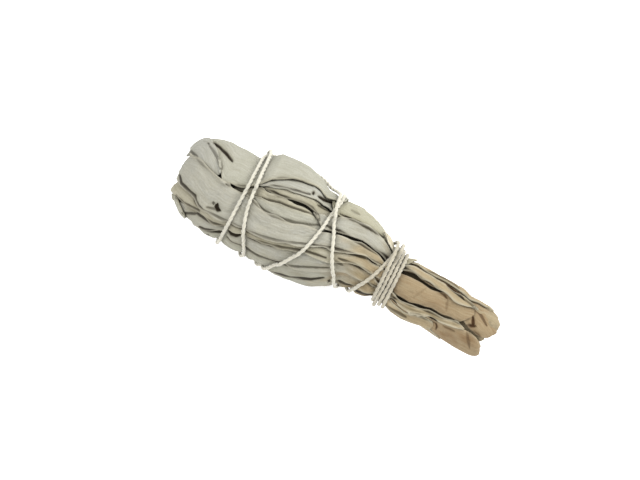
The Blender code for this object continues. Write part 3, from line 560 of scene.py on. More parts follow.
FRONT_LEAVES = (
    LeafPlan("stem_wrap_upper", "tan", 1.0, (
        (34, -92, -46), (29, -92, -46), (25, -92, -40), (19, -92, -34), (13, -94, -14), (9, -98, 6),
        (5, -98, 13), (3, -92, 12), (1.9, -82, 8), (1.2, -70, 0), (0.8, -56, -12)), nose=2.6),
    LeafPlan("stem_wrap_lower", "tan", 0.4, (
        (34, 48, 108), (28.5, 48, 112), (24, 44, 120), (18, 40, 124), (13, 28, 122), (9, 16, 120),
        (6, 17, 118), (4.2, 22, 114), (3.2, 30, 108), (2.6, 44, 96)), nose=1.4),
    LeafPlan("stem_sheath", "tan", 0.9, (
        (38, -24, 24), (34.5, -29, 29), (31, -30, 31), (26, -29, 26), (21, -27, 21),
        (17, -36, 17), (13, -44, 10), (10.5, -45, 3), (8.6, -39, -9))),
    LeafPlan("stem_blade", "sage", 0.2, (
        (36, -104, -74), (33, -104, -74), (29, -106, -72), (25, -110, -64), (21, -110, -65), (17, -108, -63),
        (13, -104, -60), (9, -102, -66), (6, -98, -70), (4.2, -90, -76))),
    LeafPlan("olive_band", "olive", 1.3, (
        (83, -28, -17), (79, -25, -19), (75, -28, -18), (70, -33, -20), (66, -39, -26), (62, -45, -31),
        (58, -50, -36), (54, -57, -39), (50, -62, -43), (46, -70, -47))),
    LeafPlan("under_leaf", "sage", 1.1, (
        (97, 84, 108), (94, 72, 118), (90, 66, 124), (84, 64, 126), (78, 58, 126), (72, 60, 128),
        (66, 62, 128), (60, 60, 126), (54, 56, 122), (48, 50, 118), (42, 44, 112), (36, 46, 108),
        (30, 56, 106), (24, 60, 108), (18, 63, 105), (13.5, 70, 98))),
    LeafPlan("low_leaf", "sage", 0.9, (
        (90, 64, 80), (87, 56, 87), (84, 50, 84), (81, 43, 73), (78, 40, 70), (74, 40, 72), (70, 40, 76),
        (66, 38, 80), (62, 34, 76), (58, 31, 71), (54, 28, 68), (50, 24, 64), (46, 20, 53), (42, 22, 53),
        (38, 32, 52), (34, 42, 55), (30, 48, 60), (25, 49, 65), (20, 44, 68), (17, 42, 60))),
    LeafPlan("flank_leaf", "pale", 0.6, (
        (102, 44, 60), (99, 38, 66), (95, 34, 72), (92, 31, 72), (88, 30, 70), (85, 28, 60), (82, 26, 49),
        (78, 26, 54), (74, 24, 53), (70, 24, 54), (66, 20, 49), (62, 14, 46), (58, 11, 46), (54, 10, 42), (50, 10, 35),
        (46, 8, 33), (42, 8, 33), (38, 15, 31), (34, 26, 39), (30, 33, 45), (25, 30, 45), (20, 26, 41),
        (15, 18, 31), (11, 9, 22), (9, 11, 18))),
    LeafPlan("small_fold", "sage", 0.9, (
        (101, 52, 62), (99, 50, 70), (97, 51, 76), (95, 54, 80), (93, 62, 78))),
    LeafPlan("rolled_band", "olive", 0.7, (
        (102.8, 18, 56), (100.5, 12, 50), (97, 9, 45), (93, 12, 41), (90, 20, 42), (86, 22, 44), (82, 18, 39),
        (78, 18, 40), (74, 18, 36), (70, 17, 36), (66, 12, 31), (62, 6, 24), (58, 1, 21), (54, -1, 21),
        (50, -1, 21), (46, -3, 16), (42, -5, 13), (38, -6, 12), (34, -6, 11), (32.2, -3, 9))),
    LeafPlan("fold_leaf", "olive", 1.5, (
        (85, -22, -8), (82, -22, -6), (79, -20, -5), (75, -17, -4), (71, -18, -6), (67, -21, -9),
        (64, -25, -13), (61.5, -26, -17), (59.5, -26, -20))),
    LeafPlan("inner_fold", "sage", 1.0, (
        (83, -10, 6), (79, -8, 10), (75, -8, 13), (71, -10, 13), (67, -13, 10), (64, -18, 6), (62, -21, 1),
        (60, -23, -4), (58, -23, -8), (56.5, -21, -11))),
    LeafPlan("lens_leaf", "silver", 0.6, (
        (84, -54, -22), (80, -58, -21), (76, -60, -23), (72, -64, -27), (68, -68, -31), (64, -74, -38),
        (60, -79, -46), (56, -82, -51), (52, -83, -58), (49, -82, -67))),
    LeafPlan("top_strip", "yellow", 0.4, (
        (61, -108, -84), (59.5, -112, -72), (58, -114, -52), (55, -116, -42), (50, -117, -38), (46, -115, -40),
        (42, -112, -43), (38, -110, -46), (34, -108, -56), (31, -106, -62), (29.3, -103, -70)), stalk_from=38),
    LeafPlan("long_pale_leaf", "pale", 0.6, (
        (61.5, -30, -25), (59, -34, -19), (56, -37, -17), (52, -40, -19), (48, -43, -20), (44, -46, -22),
        (40, -48, -25), (37, -47, -30), (34, -51, -36), (30, -58, -41), (25, -58, -39), (20, -51, -31),
        (16, -49, -24), (13, -47, -25), (10, -45, -32), (8.2, -42, -37)), stalk_from=40),
    LeafPlan("neck_nub", "cream", 0.2, (
        (41.5, -64, -58), (39, -70, -51), (36.6, -69, -49), (35, -62, -52))),
    LeafPlan("top_wrap", "sage", -0.4, (
        (102, -140, -98), (99, -148, -76), (96, -148, -54), (93, -144, -36), (91, -140, -24), (89, -136, -11),
        (86, -134, -13), (82, -131, -17), (79, -129, -22), (76, -127, -31), (72, -124, -40), (68, -120, -47),
        (64, -120, -54), (60, -124, -57), (57, -122, -60), (54.3, -116, -66)), camber=0.25),
    LeafPlan("crown_roll", "silver", -0.3, (
        (105, -118, -66), (102, -112, -42), (99, -94, -29), (96, -62, -23), (93, -40, -17),
        (90.5, -24, -12))),
    LeafPlan("main_wrap", "pale", 0.0, (
        (106, -64, 50), (103, -45, 33), (100, -31, 28), (97, -24, 26), (94, -17, 26), (91, -13, 33),
        (88, -10, 33), (85, -11, 32), (82, -10, 30), (78, -2, 30), (74, 3, 30), (70, 3, 29), (66, 0, 23),
        (62, -7, 17), (58, -12, 10), (54, -14, 6), (50, -15, 5), (46, -16.5, 2), (42, -19, -4), (38, -22, -10),
        (34, -23, -14), (32.2, -23, -18)), camber=0.35, tip_round=0.8),
)

REST_LEAF = LeafPlan("rest_leaf", "sage", 0.0, (
    (68.3, 153, 169), (66, 147, 179), (62.5, 145, 181), (58.5, 145, 181), (54.5, 145, 181), (52.2, 145, 180),
    (49, 145, 179), (45, 146, 177), (39, 147, 174), (33, 150, 170), (27, 152, 168), (22, 155, 165)),
    side=Grow.BACK, camber=0.0, ripple=0.0, waver=0.0)


@dataclass(frozen=True)
class FarLeaf:
    """A leaf on the far side, laid by a rule."""

    node: str
    finish: str
    depth: float
    middle: float
    half: float
    tip: float
    stalk_end: float
    rows: int = 16
    swell: float = 1.15
    swell_shift: float = 0.06
    swell_power: float = 0.6
    thinning: float = 0.45
    least_width: float = 0.22
    wander: float = 1.2

    def plan(self, draw: np.random.Generator) -> LeafPlan:
        """Rows of the leaf: pointed tip, full middle and a stalk, along a slightly wavy line.

        Args:
            draw: Source of its wander.

        Returns:
            The leaf's plan.
        """
        part = np.linspace(0.0, 1.0, self.rows)
        full = np.sin(np.pi * np.clip(part * self.swell + self.swell_shift, 0, 1)).clip(0.0, 1.0)
        width = self.half * np.maximum(full**self.swell_power * (1 - self.thinning * part), self.least_width)
        wander = draw.normal(0.0, self.wander, 3)
        line = self.middle + wander[0] * np.sin(np.pi * part) + wander[1] * (part - 0.5)
        line = line + wander[2] * np.sin(2 * np.pi * part)
        s = self.tip + (self.stalk_end - self.tip) * part
        rows = tuple(zip(s, line - width, line + width))
        return LeafPlan(self.node, self.finish, self.depth, rows, side=Grow.BACK)


FAR_LEAVES = (
    FarLeaf("back_inner_a", "olive", 3.4, 128, 18, 101, 8),
    FarLeaf("back_inner_b", "tan", 3.6, 170, 17, 96, 6),
    FarLeaf("back_inner_c", "tan", 2.6, 214, 18, 102, 9),
    FarLeaf("back_inner_d", "olive", 3.0, 250, 15, 90, 16),
    FarLeaf("back_middle_a", "sage", 2.7, 150, 18, 100, 15),
    FarLeaf("back_middle_b", "pale", 2.7, 192, 18, 104, 13),
    FarLeaf("back_middle_c", "sage", 1.8, 234, 18, 95, 17),
    FarLeaf("back_outer_a", "silver", 1.1, 231, 14, 92, 24),
)


class Groups:
    """Shader node groups that several finishes share, each built once."""

    @staticmethod
    def start(name: str, inputs: dict[str, tuple[str, object]], outputs: dict[str, str]) -> tuple:
        """Make an empty group with its sockets.

        Args:
            name: Name of the group.
            inputs: Socket type and default of each input.
            outputs: Socket type of each output.

        Returns:
            The tree, its input node and its output node.
        """
        tree = bpy.data.node_groups.new(name, "ShaderNodeTree")
        for label, (kind, default) in inputs.items():
            socket = tree.interface.new_socket(name=label, in_out="INPUT", socket_type=kind)
            if default is not None:
                socket.default_value = default
        for label, kind in outputs.items():
            tree.interface.new_socket(name=label, in_out="OUTPUT", socket_type=kind)
        return tree, tree.nodes.new("NodeGroupInput"), tree.nodes.new("NodeGroupOutput")

    @classmethod
    def mottle(cls) -> bpy.types.NodeTree:
        """Patches of lighter and darker felt, with finer specks and lengthwise streaks in them.

        Returns:
            The group, made on the first call.
        """
        if "FeltMottle" in bpy.data.node_groups:
            return bpy.data.node_groups["FeltMottle"]
        tree, given, out = cls.start(
            "FeltMottle",
            {"Lay": ("NodeSocketVector", None), "Patch": ("NodeSocketFloat", 0.22),
             "Speck": ("NodeSocketFloat", 2.4)},
            {"Patches": "NodeSocketFloat", "Specks": "NodeSocketFloat", "Streaks": "NodeSocketFloat"})
        stretch = tree.nodes.new("ShaderNodeVectorMath")
        stretch.operation = "MULTIPLY"
        stretch.inputs[1].default_value = (1.0, 0.07, 1.0)
        tree.links.new(given.outputs["Lay"], stretch.inputs[0])
        kinds = (("Patch", "Patches", 3.0, given.outputs["Lay"]), ("Speck", "Specks", 5.0, given.outputs["Lay"]),
                 ("Speck", "Streaks", 4.0, stretch.outputs["Vector"]))
        for source, target, detail, vector in kinds:
            cloud = tree.nodes.new("ShaderNodeTexNoise")
            set_inputs(cloud, {"Detail": detail, "Roughness": 0.62})
            tree.links.new(vector, cloud.inputs["Vector"])
            tree.links.new(given.outputs[source], cloud.inputs["Scale"])
            spread = tree.nodes.new("ShaderNodeMapRange")
            set_inputs(spread, {"From Min": 0.32, "From Max": 0.68})
            tree.links.new(cloud.outputs["Fac"], spread.inputs["Value"])
            tree.links.new(spread.outputs["Result"], out.inputs[target])
        return tree

    @classmethod
    def felt(cls) -> bpy.types.NodeTree:
        """Height of the felt: woolly grain, lengthwise ribs and a net of veins.

        Returns:
            The group, made on the first call.
        """
        if "FeltRelief" in bpy.data.node_groups:
            return bpy.data.node_groups["FeltRelief"]
        tree, given, out = cls.start(
            "FeltRelief",
            {"Lay": ("NodeSocketVector", None), "Grain": ("NodeSocketFloat", 5.0),
             "Ribs": ("NodeSocketFloat", 0.5), "Veins": ("NodeSocketFloat", 0.35)},
            {"Height": "NodeSocketFloat"})
        nodes, links = tree.nodes, tree.links
        grain = nodes.new("ShaderNodeTexNoise")
        set_inputs(grain, {"Detail": 4.0, "Roughness": 0.7})
        links.new(given.outputs["Lay"], grain.inputs["Vector"])
        links.new(given.outputs["Grain"], grain.inputs["Scale"])
        stretch = nodes.new("ShaderNodeVectorMath")
        stretch.operation = "MULTIPLY"
        stretch.inputs[1].default_value = (1.5, 0.12, 1.0)
        links.new(given.outputs["Lay"], stretch.inputs[0])
        ribs = nodes.new("ShaderNodeTexNoise")
        set_inputs(ribs, {"Scale": 1.0, "Detail": 2.0})
        links.new(stretch.outputs["Vector"], ribs.inputs["Vector"])
        net = nodes.new("ShaderNodeTexVoronoi")
        net.feature = "DISTANCE_TO_EDGE"
        set_inputs(net, {"Scale": 0.75})
        links.new(given.outputs["Lay"], net.inputs["Vector"])
        ridge = nodes.new("ShaderNodeMapRange")
        set_inputs(ridge, {"From Min": 0.0, "From Max": 0.16})
        links.new(net.outputs["Distance"], ridge.inputs["Value"])
        total = grain.outputs["Fac"]
        for part, weight in ((ribs.outputs["Fac"], "Ribs"), (ridge.outputs["Result"], "Veins")):
            share = nodes.new("ShaderNodeMath")
            share.operation = "MULTIPLY_ADD"
            links.new(part, share.inputs[0])
            links.new(given.outputs[weight], share.inputs[1])
            links.new(total, share.inputs[2])
            total = share.outputs["Value"]
        links.new(total, out.inputs["Height"])
        return tree


@dataclass(frozen=True)
class LeafFinish:
    """Dry felted leaf: colours in linear RGB from the open face to the painted shade of the creases."""

    slot: str
    face: Colour
    patch: Colour
    # The leaf's edges, painted lighter as a highlight.
    rim: Colour
    stalk: Colour
    # Painted shadow in the deepest gaps and along the creases.
    crease_shadow: Colour = (0.009, 0.006, 0.002)
    # Painted shade beside the gaps; the darker specks, streaks and spots take it too.
    shade_and_mottle: Colour = (0.098, 0.080, 0.038)
    patches: float = 0.75
    stalk_reach: float = 0.9
    rim_reach: float = 0.7
    streaks: float = 0.30
    specks: float = 0.16
    roughness: float = 0.9
    sheen: float = 0.02
    sheen_roughness: float = 0.6
    specular: float = 0.1
    bump_strength: float = 0.8
    bump_height: float = 0.16

    def material(self, name: str) -> bpy.types.Material:
        """Build the node material.

        Args:
            name: Name of the material.

        Returns:
            The finished material.
        """
        made = bpy.data.materials.new(name)
        made.use_nodes = True
        nodes, links = made.node_tree.nodes, made.node_tree.links
        shader = nodes["Principled BSDF"]
        set_inputs(shader, {"Roughness": self.roughness, "Sheen Weight": self.sheen,
                            "Sheen Roughness": self.sheen_roughness, "Specular IOR Level": self.specular})
        lay = nodes.new("ShaderNodeAttribute")
        lay.attribute_name = "lay"
        mottle = nodes.new("ShaderNodeGroup")
        mottle.node_tree = Groups.mottle()
        links.new(lay.outputs["Vector"], mottle.inputs["Lay"])
        masks = {name: self.attribute(nodes, name) for name in MASKS}
        # Own colours first, then the painted edge highlight, the specks and streaks, painted shade and painted shadow.
        colour = self.face
        for tint, mask, amount in (
                (self.patch, mottle.outputs["Patches"], self.patches), (self.stalk, masks["stalk"], self.stalk_reach),
                (self.rim, masks["rim"], self.rim_reach), (self.shade_and_mottle, mottle.outputs["Streaks"], self.streaks),
                (self.shade_and_mottle, mottle.outputs["Specks"], self.specks), (self.shade_and_mottle, masks["shade_and_mottle"], 1.0),
                (self.crease_shadow, masks["deep_shade"], 1.0)):
            colour = self.mix(nodes, links, colour, tint, mask, amount)
        links.new(colour, shader.inputs["Base Color"])
        felt = nodes.new("ShaderNodeGroup")
        felt.node_tree = Groups.felt()
        links.new(lay.outputs["Vector"], felt.inputs["Lay"])
        self.bump(nodes, links, felt.outputs["Height"], self.bump_strength, self.bump_height)
        return made

    @staticmethod
    def attribute(nodes: bpy.types.Nodes, name: str) -> bpy.types.NodeSocket:
        """Read one of the piece's own masks.

        Args:
            nodes: Nodes of the material.
            name: Name of the mask.

        Returns:
            Socket of the mask.
        """
        made = nodes.new("ShaderNodeAttribute")
        made.attribute_name = name
        return made.outputs["Fac"]

    @staticmethod
    def bump(nodes: bpy.types.Nodes, links: bpy.types.NodeLinks, height: object, strength: float,
             distance: float) -> None:
        """Give the shader a relief.

        Args:
            nodes: Nodes of the material.
            links: Links of the material.
            height: Socket of the relief.
            strength: Strength of the relief.
            distance: Height of the relief, in millimetres.
        """
        made = nodes.new("ShaderNodeBump")
        set_inputs(made, {"Strength": strength, "Distance": distance * MM})
        links.new(height, made.inputs["Height"])
        links.new(made.outputs["Normal"], nodes["Principled BSDF"].inputs["Normal"])

    @staticmethod
    def mix_amount(nodes: bpy.types.Nodes, links: bpy.types.NodeLinks, mask: object, amount: float) -> object:
        """Turn a mask down to an amount.

        Args:
            nodes: Nodes of the material.
            links: Links of the material.
            mask: Socket of the mask.
            amount: Share of the mask that is used.

        Returns:
            Socket of the weaker mask.
        """
        made = nodes.new("ShaderNodeMath")
        made.operation = "MULTIPLY"
        made.inputs[1].default_value = amount
        links.new(mask, made.inputs[0])
        return made.outputs["Value"]

    @classmethod
    def mix(cls, nodes: bpy.types.Nodes, links: bpy.types.NodeLinks, first: object, second: object,
            mask: object, amount: float) -> object:
        """Blend two colours by a mask.

        Args:
            nodes: Nodes of the material.
            links: Links of the material.
            first: A colour, or the socket of one, where the mask is 0.
            second: A colour, or the socket of one, where the mask is 1.
            mask: Socket of the mask.
            amount: Share of the mask that is used.

        Returns:
            Socket of the blended colour.
        """
        made = nodes.new("ShaderNodeMix")
        made.data_type = "RGBA"
        links.new(cls.mix_amount(nodes, links, mask, amount), made.inputs["Factor"])
        for socket, colour in ((made.inputs[6], first), (made.inputs[7], second)):
            if isinstance(colour, tuple):
                socket.default_value = (*colour, 1.0)
            else:
                links.new(colour, socket)
        return made.outputs[2]


FINISHES = {
    "pale": LeafFinish("pale_leaf", (0.270, 0.265, 0.222), (0.248, 0.248, 0.222), (0.318, 0.303, 0.244),
                       (0.252, 0.196, 0.116)),
    "sage": LeafFinish("sage_leaf", (0.277, 0.274, 0.233), (0.244, 0.244, 0.200), (0.311, 0.296, 0.229),
                       (0.240, 0.184, 0.110)),
    "silver": LeafFinish("silver_leaf", (0.285, 0.285, 0.255), (0.255, 0.255, 0.222), (0.318, 0.311, 0.259),
                         (0.254, 0.202, 0.128)),
    "yellow": LeafFinish("yellow_leaf", (0.285, 0.277, 0.218), (0.252, 0.244, 0.174), (0.311, 0.296, 0.222),
                         (0.278, 0.223, 0.140)),
    "olive": LeafFinish("olive_leaf", (0.285, 0.271, 0.217), (0.255, 0.240, 0.176), (0.311, 0.296, 0.233),
                        (0.228, 0.174, 0.102)),
    "tan": LeafFinish("tan_stalk", (0.236, 0.203, 0.133), (0.188, 0.152, 0.092), (0.280, 0.240, 0.164),
                      (0.220, 0.176, 0.108), crease_shadow=(0.026, 0.011, 0.003), shade_and_mottle=(0.115, 0.064, 0.027),
                      streaks=0.45),
    "sprig": LeafFinish("olive_leaf", (0.285, 0.271, 0.217), (0.255, 0.240, 0.176), (0.311, 0.296, 0.233),
                        (0.230, 0.184, 0.114)),
    "cream": LeafFinish("cream_leaf", (0.470, 0.440, 0.350), (0.420, 0.380, 0.290), (0.480, 0.455, 0.370),
                        (0.420, 0.380, 0.285)),
}


@dataclass(frozen=True)
class StringFinish:
    """Undyed two-ply cotton, with painted shade on the turns round the neck."""

    slot: str = "cotton_string"
    colour: Colour = (0.375, 0.360, 0.300)
    shade: Colour = (0.290, 0.266, 0.205)
    # The turns round the neck are painted darker, as the shade between them.
    neck_shade: Colour = (0.245, 0.218, 0.160)
    neck_shade_from: float = 11.0
    neck_shade_to: float = 15.0
    neck_shade_share: float = 0.7
    shade_share: float = 0.35
    roughness: float = 0.9
    sheen: float = 0.3
    specular: float = 0.2
    patch_scale: float = 0.5
    speck_scale: float = 6.0
    bump_strength: float = 0.4
    bump_height: float = 0.06

    def material(self) -> bpy.types.Material:
        """Build the node material of the string.

        Returns:
            The finished material.
        """
        made = bpy.data.materials.new("cotton_string_finish")
        made.use_nodes = True
        nodes, links = made.node_tree.nodes, made.node_tree.links
        shader = nodes["Principled BSDF"]
        set_inputs(shader, {"Roughness": self.roughness, "Sheen Weight": self.sheen,
                            "Specular IOR Level": self.specular})
        place = nodes.new("ShaderNodeTexCoord")
        grow = nodes.new("ShaderNodeMapping")
        set_inputs(grow, {"Scale": (1 / MM, 1 / MM, 1 / MM)})
        links.new(place.outputs["Object"], grow.inputs["Vector"])
        mottle = nodes.new("ShaderNodeGroup")
        mottle.node_tree = Groups.mottle()
        set_inputs(mottle, {"Patch": self.patch_scale, "Speck": self.speck_scale})
        links.new(grow.outputs["Vector"], mottle.inputs["Lay"])
        specks = mottle.outputs["Specks"]
        colour = LeafFinish.mix(nodes, links, self.colour, self.shade, specks, self.shade_share)
        # Painted shade on the neck turns, by their place along X.
        along = nodes.new("ShaderNodeSeparateXYZ")
        links.new(place.outputs["Object"], along.inputs["Vector"])
        neck = nodes.new("ShaderNodeMapRange")
        set_inputs(neck, {"From Min": self.neck_shade_from * MM, "From Max": self.neck_shade_to * MM})
        links.new(along.outputs["X"], neck.inputs["Value"])
        colour = LeafFinish.mix(nodes, links, colour, self.neck_shade, neck.outputs["Result"], self.neck_shade_share)
        links.new(colour, shader.inputs["Base Color"])
        LeafFinish.bump(nodes, links, specks, self.bump_strength, self.bump_height)
        return made


@dataclass
class Sheet:
    """A leaf laid on the bunch: its upper face as a grid in bundle coordinates."""

    plan: LeafPlan
    s: np.ndarray
    psi: np.ndarray
    rho: np.ndarray
    across: np.ndarray
    along: np.ndarray
    seed: int


@dataclass(frozen=True)
class ShadeRule:
    """How painted shade in gaps and creases, and dark spots, darken a leaf. A gap is its share and the depths it grows
    between.
    """

    deep_shade: Row = (0.85, 0.9, 2.2)
    shade_and_mottle: Row = (0.3, 0.8, 2.4)
    deep_shade_passes: int = 1
    side_shade_passes: int = 3
    seen_from: float = 0.25
    rim_keeps: float = 0.75
    core_from: float = 1.2
    core_to: float = 0.65
    core_waver: float = 0.1
    crease_side_shade: float = 0.42
    crease_side_shade_width: float = 0.8
    crease_press: float = 0.6
    spot_base: float = 0.75
    spot_waver: float = 0.25
    wave_seed: int = 77
    wave_length: float = 4.5
    wave_breadth: float = 2.5


@dataclass
class LeafMaker:
    """Lays leaves one over another on the relief and turns them into dressed meshes."""

    form: BunchForm
    relief: Relief
    rule: ShadeRule = ShadeRule()
    thickness: float = 0.45
    gap: float = 0.21
    least_cells: int = 8
    settle_passes: int = 26
    rim_width: float = 0.5
    waver: tuple[float, float] = (7.0, 50.0)
    ripples: tuple[tuple[int, float, float, float], ...] = ((3, 11.0, 4.5, 1.0), (4, 4.0, 2.0, 0.5))
    ripple_fade: float = 0.5
    tone: tuple[int, float, float] = (9, 9.0, 5.0)
    end_length: float = 3.0
    stalk_round: float = 0.6
    camber_power: float = 2.5
    head_from: float = 86.0
    head_to: float = 98.0
    nose_reach: float = 2.2
    nose_fullness: float = 0.96
    rest_snap: float = 0.25
    stalk_fade: float = 16.0
    stalk_waver: float = 2.5
    pattern_step: float = 40.0
    patterns: int = 17
    sheets: list[Sheet] = field(default_factory=list)
    materials: dict[str, bpy.types.Material] = field(default_factory=dict)

    def lay(self, plan: LeafPlan, seed: int, lift: bool = True) -> Sheet:
        """Lay one leaf over everything that is there already.

        Args:
            plan: The leaf's plan.
            seed: Seed of its waves.
            lift: Whether it is lifted over what is there, or goes through it.

        Returns:
            The laid leaf.
        """
        table = np.array(plan.rows, float)
        walk = np.concatenate([[0], np.cumsum(np.abs(np.diff(table[:, 0])))])
        rows = max(self.least_cells, int(walk[-1] / plan.side.value))
        spans = np.radians(np.abs(table[:, 2] - table[:, 1])) * self.form.radius(table[:, 0])
        columns = max(self.least_cells, int(spans.max() / plan.side.value))
        places = np.linspace(0, walk[-1], rows + 1)
        u = np.linspace(-1, 1, columns + 1)[None, :]
        s_line, first, second = (smooth_curve(walk, table[:, k], places)[:, None] for k in range(3))
        radius = self.form.radius(s_line)
        waver = [Waves(seed + k, *self.waver).at(s_line, 0 * s_line) for k in (1, 2)]
        first = first + np.degrees(plan.waver * waver[0] / radius)
        second = second + np.degrees(plan.waver * waver[1] / radius)
        psi = first * (1 - u) / 2 + second * (1 + u) / 2
        from_tip = places[:, None]
        from_end = (walk[-1] - places)[:, None]
        rounding = plan.tip_round * u**2 * np.exp(-from_tip / self.end_length)
        s = s_line - rounding + self.stalk_round * plan.tip_round * u**2 * np.exp(-from_end / self.end_length)
        width = np.radians(second - first) / 2 * radius
        across = u * width
        ripple = sum(share * Waves(seed + extra, length, breadth).at(s, across)
                     for extra, length, breadth, share in self.ripples)
        top = self.relief.read(self.relief.outline, s, psi) - plan.depth
        top = top + plan.head_rise * smooth_step(self.head_from, self.head_to, s)
        top = top - plan.camber * np.abs(u) ** self.camber_power
        top = top + plan.ripple * ripple * (1 - self.ripple_fade * u**2)
        if plan.nose:
            near_end = np.clip(1 - from_end / (self.nose_reach * plan.nose), 0, 1)
            top = top - plan.nose * (1 - np.sqrt(1 - self.nose_fullness * near_end**2))
        if lift:
            top = top + self.settle(top, s, psi)
        sheet = Sheet(plan, s, psi, top, across, np.broadcast_to(from_tip, s.shape), seed)
        self.relief.add(s, psi, top)
        self.sheets.append(sheet)
        return sheet

    def settle(self, top: np.ndarray, s: np.ndarray, psi: np.ndarray) -> np.ndarray:
        """Find how far a leaf must rise to lie softly over what is beneath it.

        Args:
            top: The leaf's heights as it would lie on the bare bunch.
            s: Its distances from the stem end.
            psi: Its degrees round the bunch.

        Returns:
            The rise at each place of the leaf.
        """
        need = self.relief.read(self.relief.spread(), s, psi) + self.gap + self.thickness - top
        need = np.maximum(need, 0.0)
        lift = need
        for _ in range(self.settle_passes):
            wide = np.pad(lift, 1, mode="edge")
            calm = (wide[:-2, 1:-1] + wide[2:, 1:-1] + wide[1:-1, :-2] + wide[1:-1, 2:]) / 4
            lift = np.maximum(need, calm)
        return lift

    def build(self, sheet: Sheet) -> bpy.types.Object:
        """Turn a laid leaf into a piece with its attributes and finish.

        Args:
            sheet: The laid leaf.

        Returns:
            The new object.
        """
        rows, columns = (size - 1 for size in sheet.s.shape)
        shape = bmesh.new()
        bmesh.ops.create_grid(shape, x_segments=columns, y_segments=rows, size=0.5)
        half = np.abs(sheet.across).max(axis=1, keepdims=True)
        # The long edges are painted lighter, as a highlight.
        rim = np.exp(-((half - np.abs(sheet.across)) / self.rim_width) ** 2)
        rho, deep_shade, shade_and_mottle = self.shade(sheet, rim)
        points = self.form.to_space(sheet.s, sheet.psi, rho)
        if sheet.plan is REST_LEAF:
            points[..., 2] = np.where(points[..., 2] < self.rest_snap, 0.0, points[..., 2])
        points = points * MM
        extra, length, breadth = self.tone
        tone = Waves(sheet.seed + extra, length, breadth).at(sheet.s, sheet.across)
        start = sheet.plan.stalk_from
        stalk = smooth_step(start, start - self.stalk_fade, sheet.s + self.stalk_waver * tone)
        shift = self.pattern_step * (sheet.seed % self.patterns)
        lay = np.stack([sheet.across + shift, sheet.along, 0 * sheet.s], axis=-1)
        grids = dict(zip(MASKS, (deep_shade, shade_and_mottle, rim, stalk)))
        layers = {name: shape.verts.layers.float.new(name) for name in grids}
        lay_layer = shape.verts.layers.float_vector.new("lay")
        for vertex, r, c in grid_places(shape.verts, rows, columns):
            vertex.co = points[r, c]
            vertex[lay_layer] = lay[r, c]
            for name, layer in layers.items():
                vertex[layer] = grids[name][r, c]
        return self.finish(shape, sheet.plan)

    def finish(self, shape: bmesh.types.BMesh, plan: LeafPlan) -> bpy.types.Object:
        """Turn the faces outwards, give the leaf its thickness and put it in the scene.

        Args:
            shape: The leaf's upper face.
            plan: The leaf's plan.

        Returns:
            The new object.
        """
        shape.normal_update()
        middle = self.form.place(self.form.rest_from, 0.0, 0.0) * MM
        face = max(shape.faces, key=lambda f: f.calc_area())
        centre = face.calc_center_median()
        outward = Vector((0.0, centre.y - middle[1], centre.z - middle[2]))
        if face.normal.dot(outward) < 0:
            bmesh.ops.reverse_faces(shape, faces=shape.faces)
        mesh = to_mesh(plan.node + "_leaf", shape)
        made = to_scene(plan.node + "_leaf", mesh)
        wall = made.modifiers.new("thickness", "SOLIDIFY")
        wall.thickness = self.thickness * MM
        wall.offset = -1.0
        if plan.finish not in self.materials:
            self.materials[plan.finish] = FINISHES[plan.finish].material(plan.finish + "_leaf_finish")
        mesh.materials.append(self.materials[plan.finish])
        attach(made, BODY)
        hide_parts(plan.node)
        LOG.info("%s: %d faces", made.name, len(mesh.polygons))
        return made

    def buried(self, sheet: Sheet, curve: Row, passes: int) -> np.ndarray:
        """Find how much shade to paint on a leaf under the leaves that lie over it.

        Args:
            sheet: The laid leaf.
            curve: Greatest darkness, and the depths where it starts and where it is full.
            passes: How far the cover is softened.

        Returns:
            The darkness at each place of the leaf.
        """
        share, low, high = curve
        cover = self.relief.read(self.relief.soften(self.relief.spread(), passes), sheet.s, sheet.psi)
        return share * smooth_step(low, high, cover - sheet.rho)

    def shade(self, sheet: Sheet, rim: np.ndarray) -> tuple[np.ndarray, np.ndarray, np.ndarray]:
        """Press the creases in, paint their shadow and find how deep each place lies under its neighbours.

        Args:
            sheet: The laid leaf.
            rim: 1 on the leaf's own long edges, where a lighter highlight is painted.

        Returns:
            Heights with the creases, a mask of painted shadow in the deepest gaps and one of painted shade beside
            them.
        """
        rule, rho = self.rule, sheet.rho
        # Painted shadow where a leaf lies deep under others, and painted shade a little further out.
        deep_shade = self.buried(sheet, rule.deep_shade, rule.deep_shade_passes)
        shade_and_mottle = self.buried(sheet, rule.shade_and_mottle, rule.side_shade_passes)
        sideways = self.form.sideways(sheet.s, sheet.psi, sheet.rho)
        seen = smooth_step(0.0, rule.seen_from, np.cos(np.radians(sheet.psi))) * (1 - rule.rim_keeps * rim)
        flat_s = np.minimum(sheet.s, self.form.dome_start)
        flat_s = flat_s + sheet.rho * np.sin(self.form.bend(sheet.s))
        waves = Waves(rule.wave_seed, rule.wave_length, rule.wave_breadth).at(flat_s, sideways)
        # Each line in CREASES is pressed in and painted dark as its shadow, with painted shade beside it.
        for crease_shadow in CREASES:
            away = crease_shadow.distance(flat_s, sideways)
            core = smooth_step(rule.core_from, rule.core_to, away + rule.core_waver * waves) * seen
            deep_shade = np.maximum(deep_shade, core * crease_shadow.darkness)
            side_shade = rule.crease_side_shade * np.exp(-((away * crease_shadow.width / rule.crease_side_shade_width) ** 2))
            shade_and_mottle = np.maximum(shade_and_mottle, side_shade * seen * crease_shadow.darkness)
            rho = rho - rule.crease_press * np.exp(-(away**2)) * seen * crease_shadow.depth
        # Darker spots go into the same mask as the painted shade beside the gaps.
        for spot in DARK_SPOTS:
            away = np.hypot((flat_s - spot.s) / spot.length, (sideways - spot.c) / spot.breadth)
            patch = spot.strength * np.exp(-(away**2)) * (rule.spot_base + rule.spot_waver * waves)
            shade_and_mottle = np.maximum(shade_and_mottle, patch * seen)
        return rho, deep_shade, shade_and_mottle


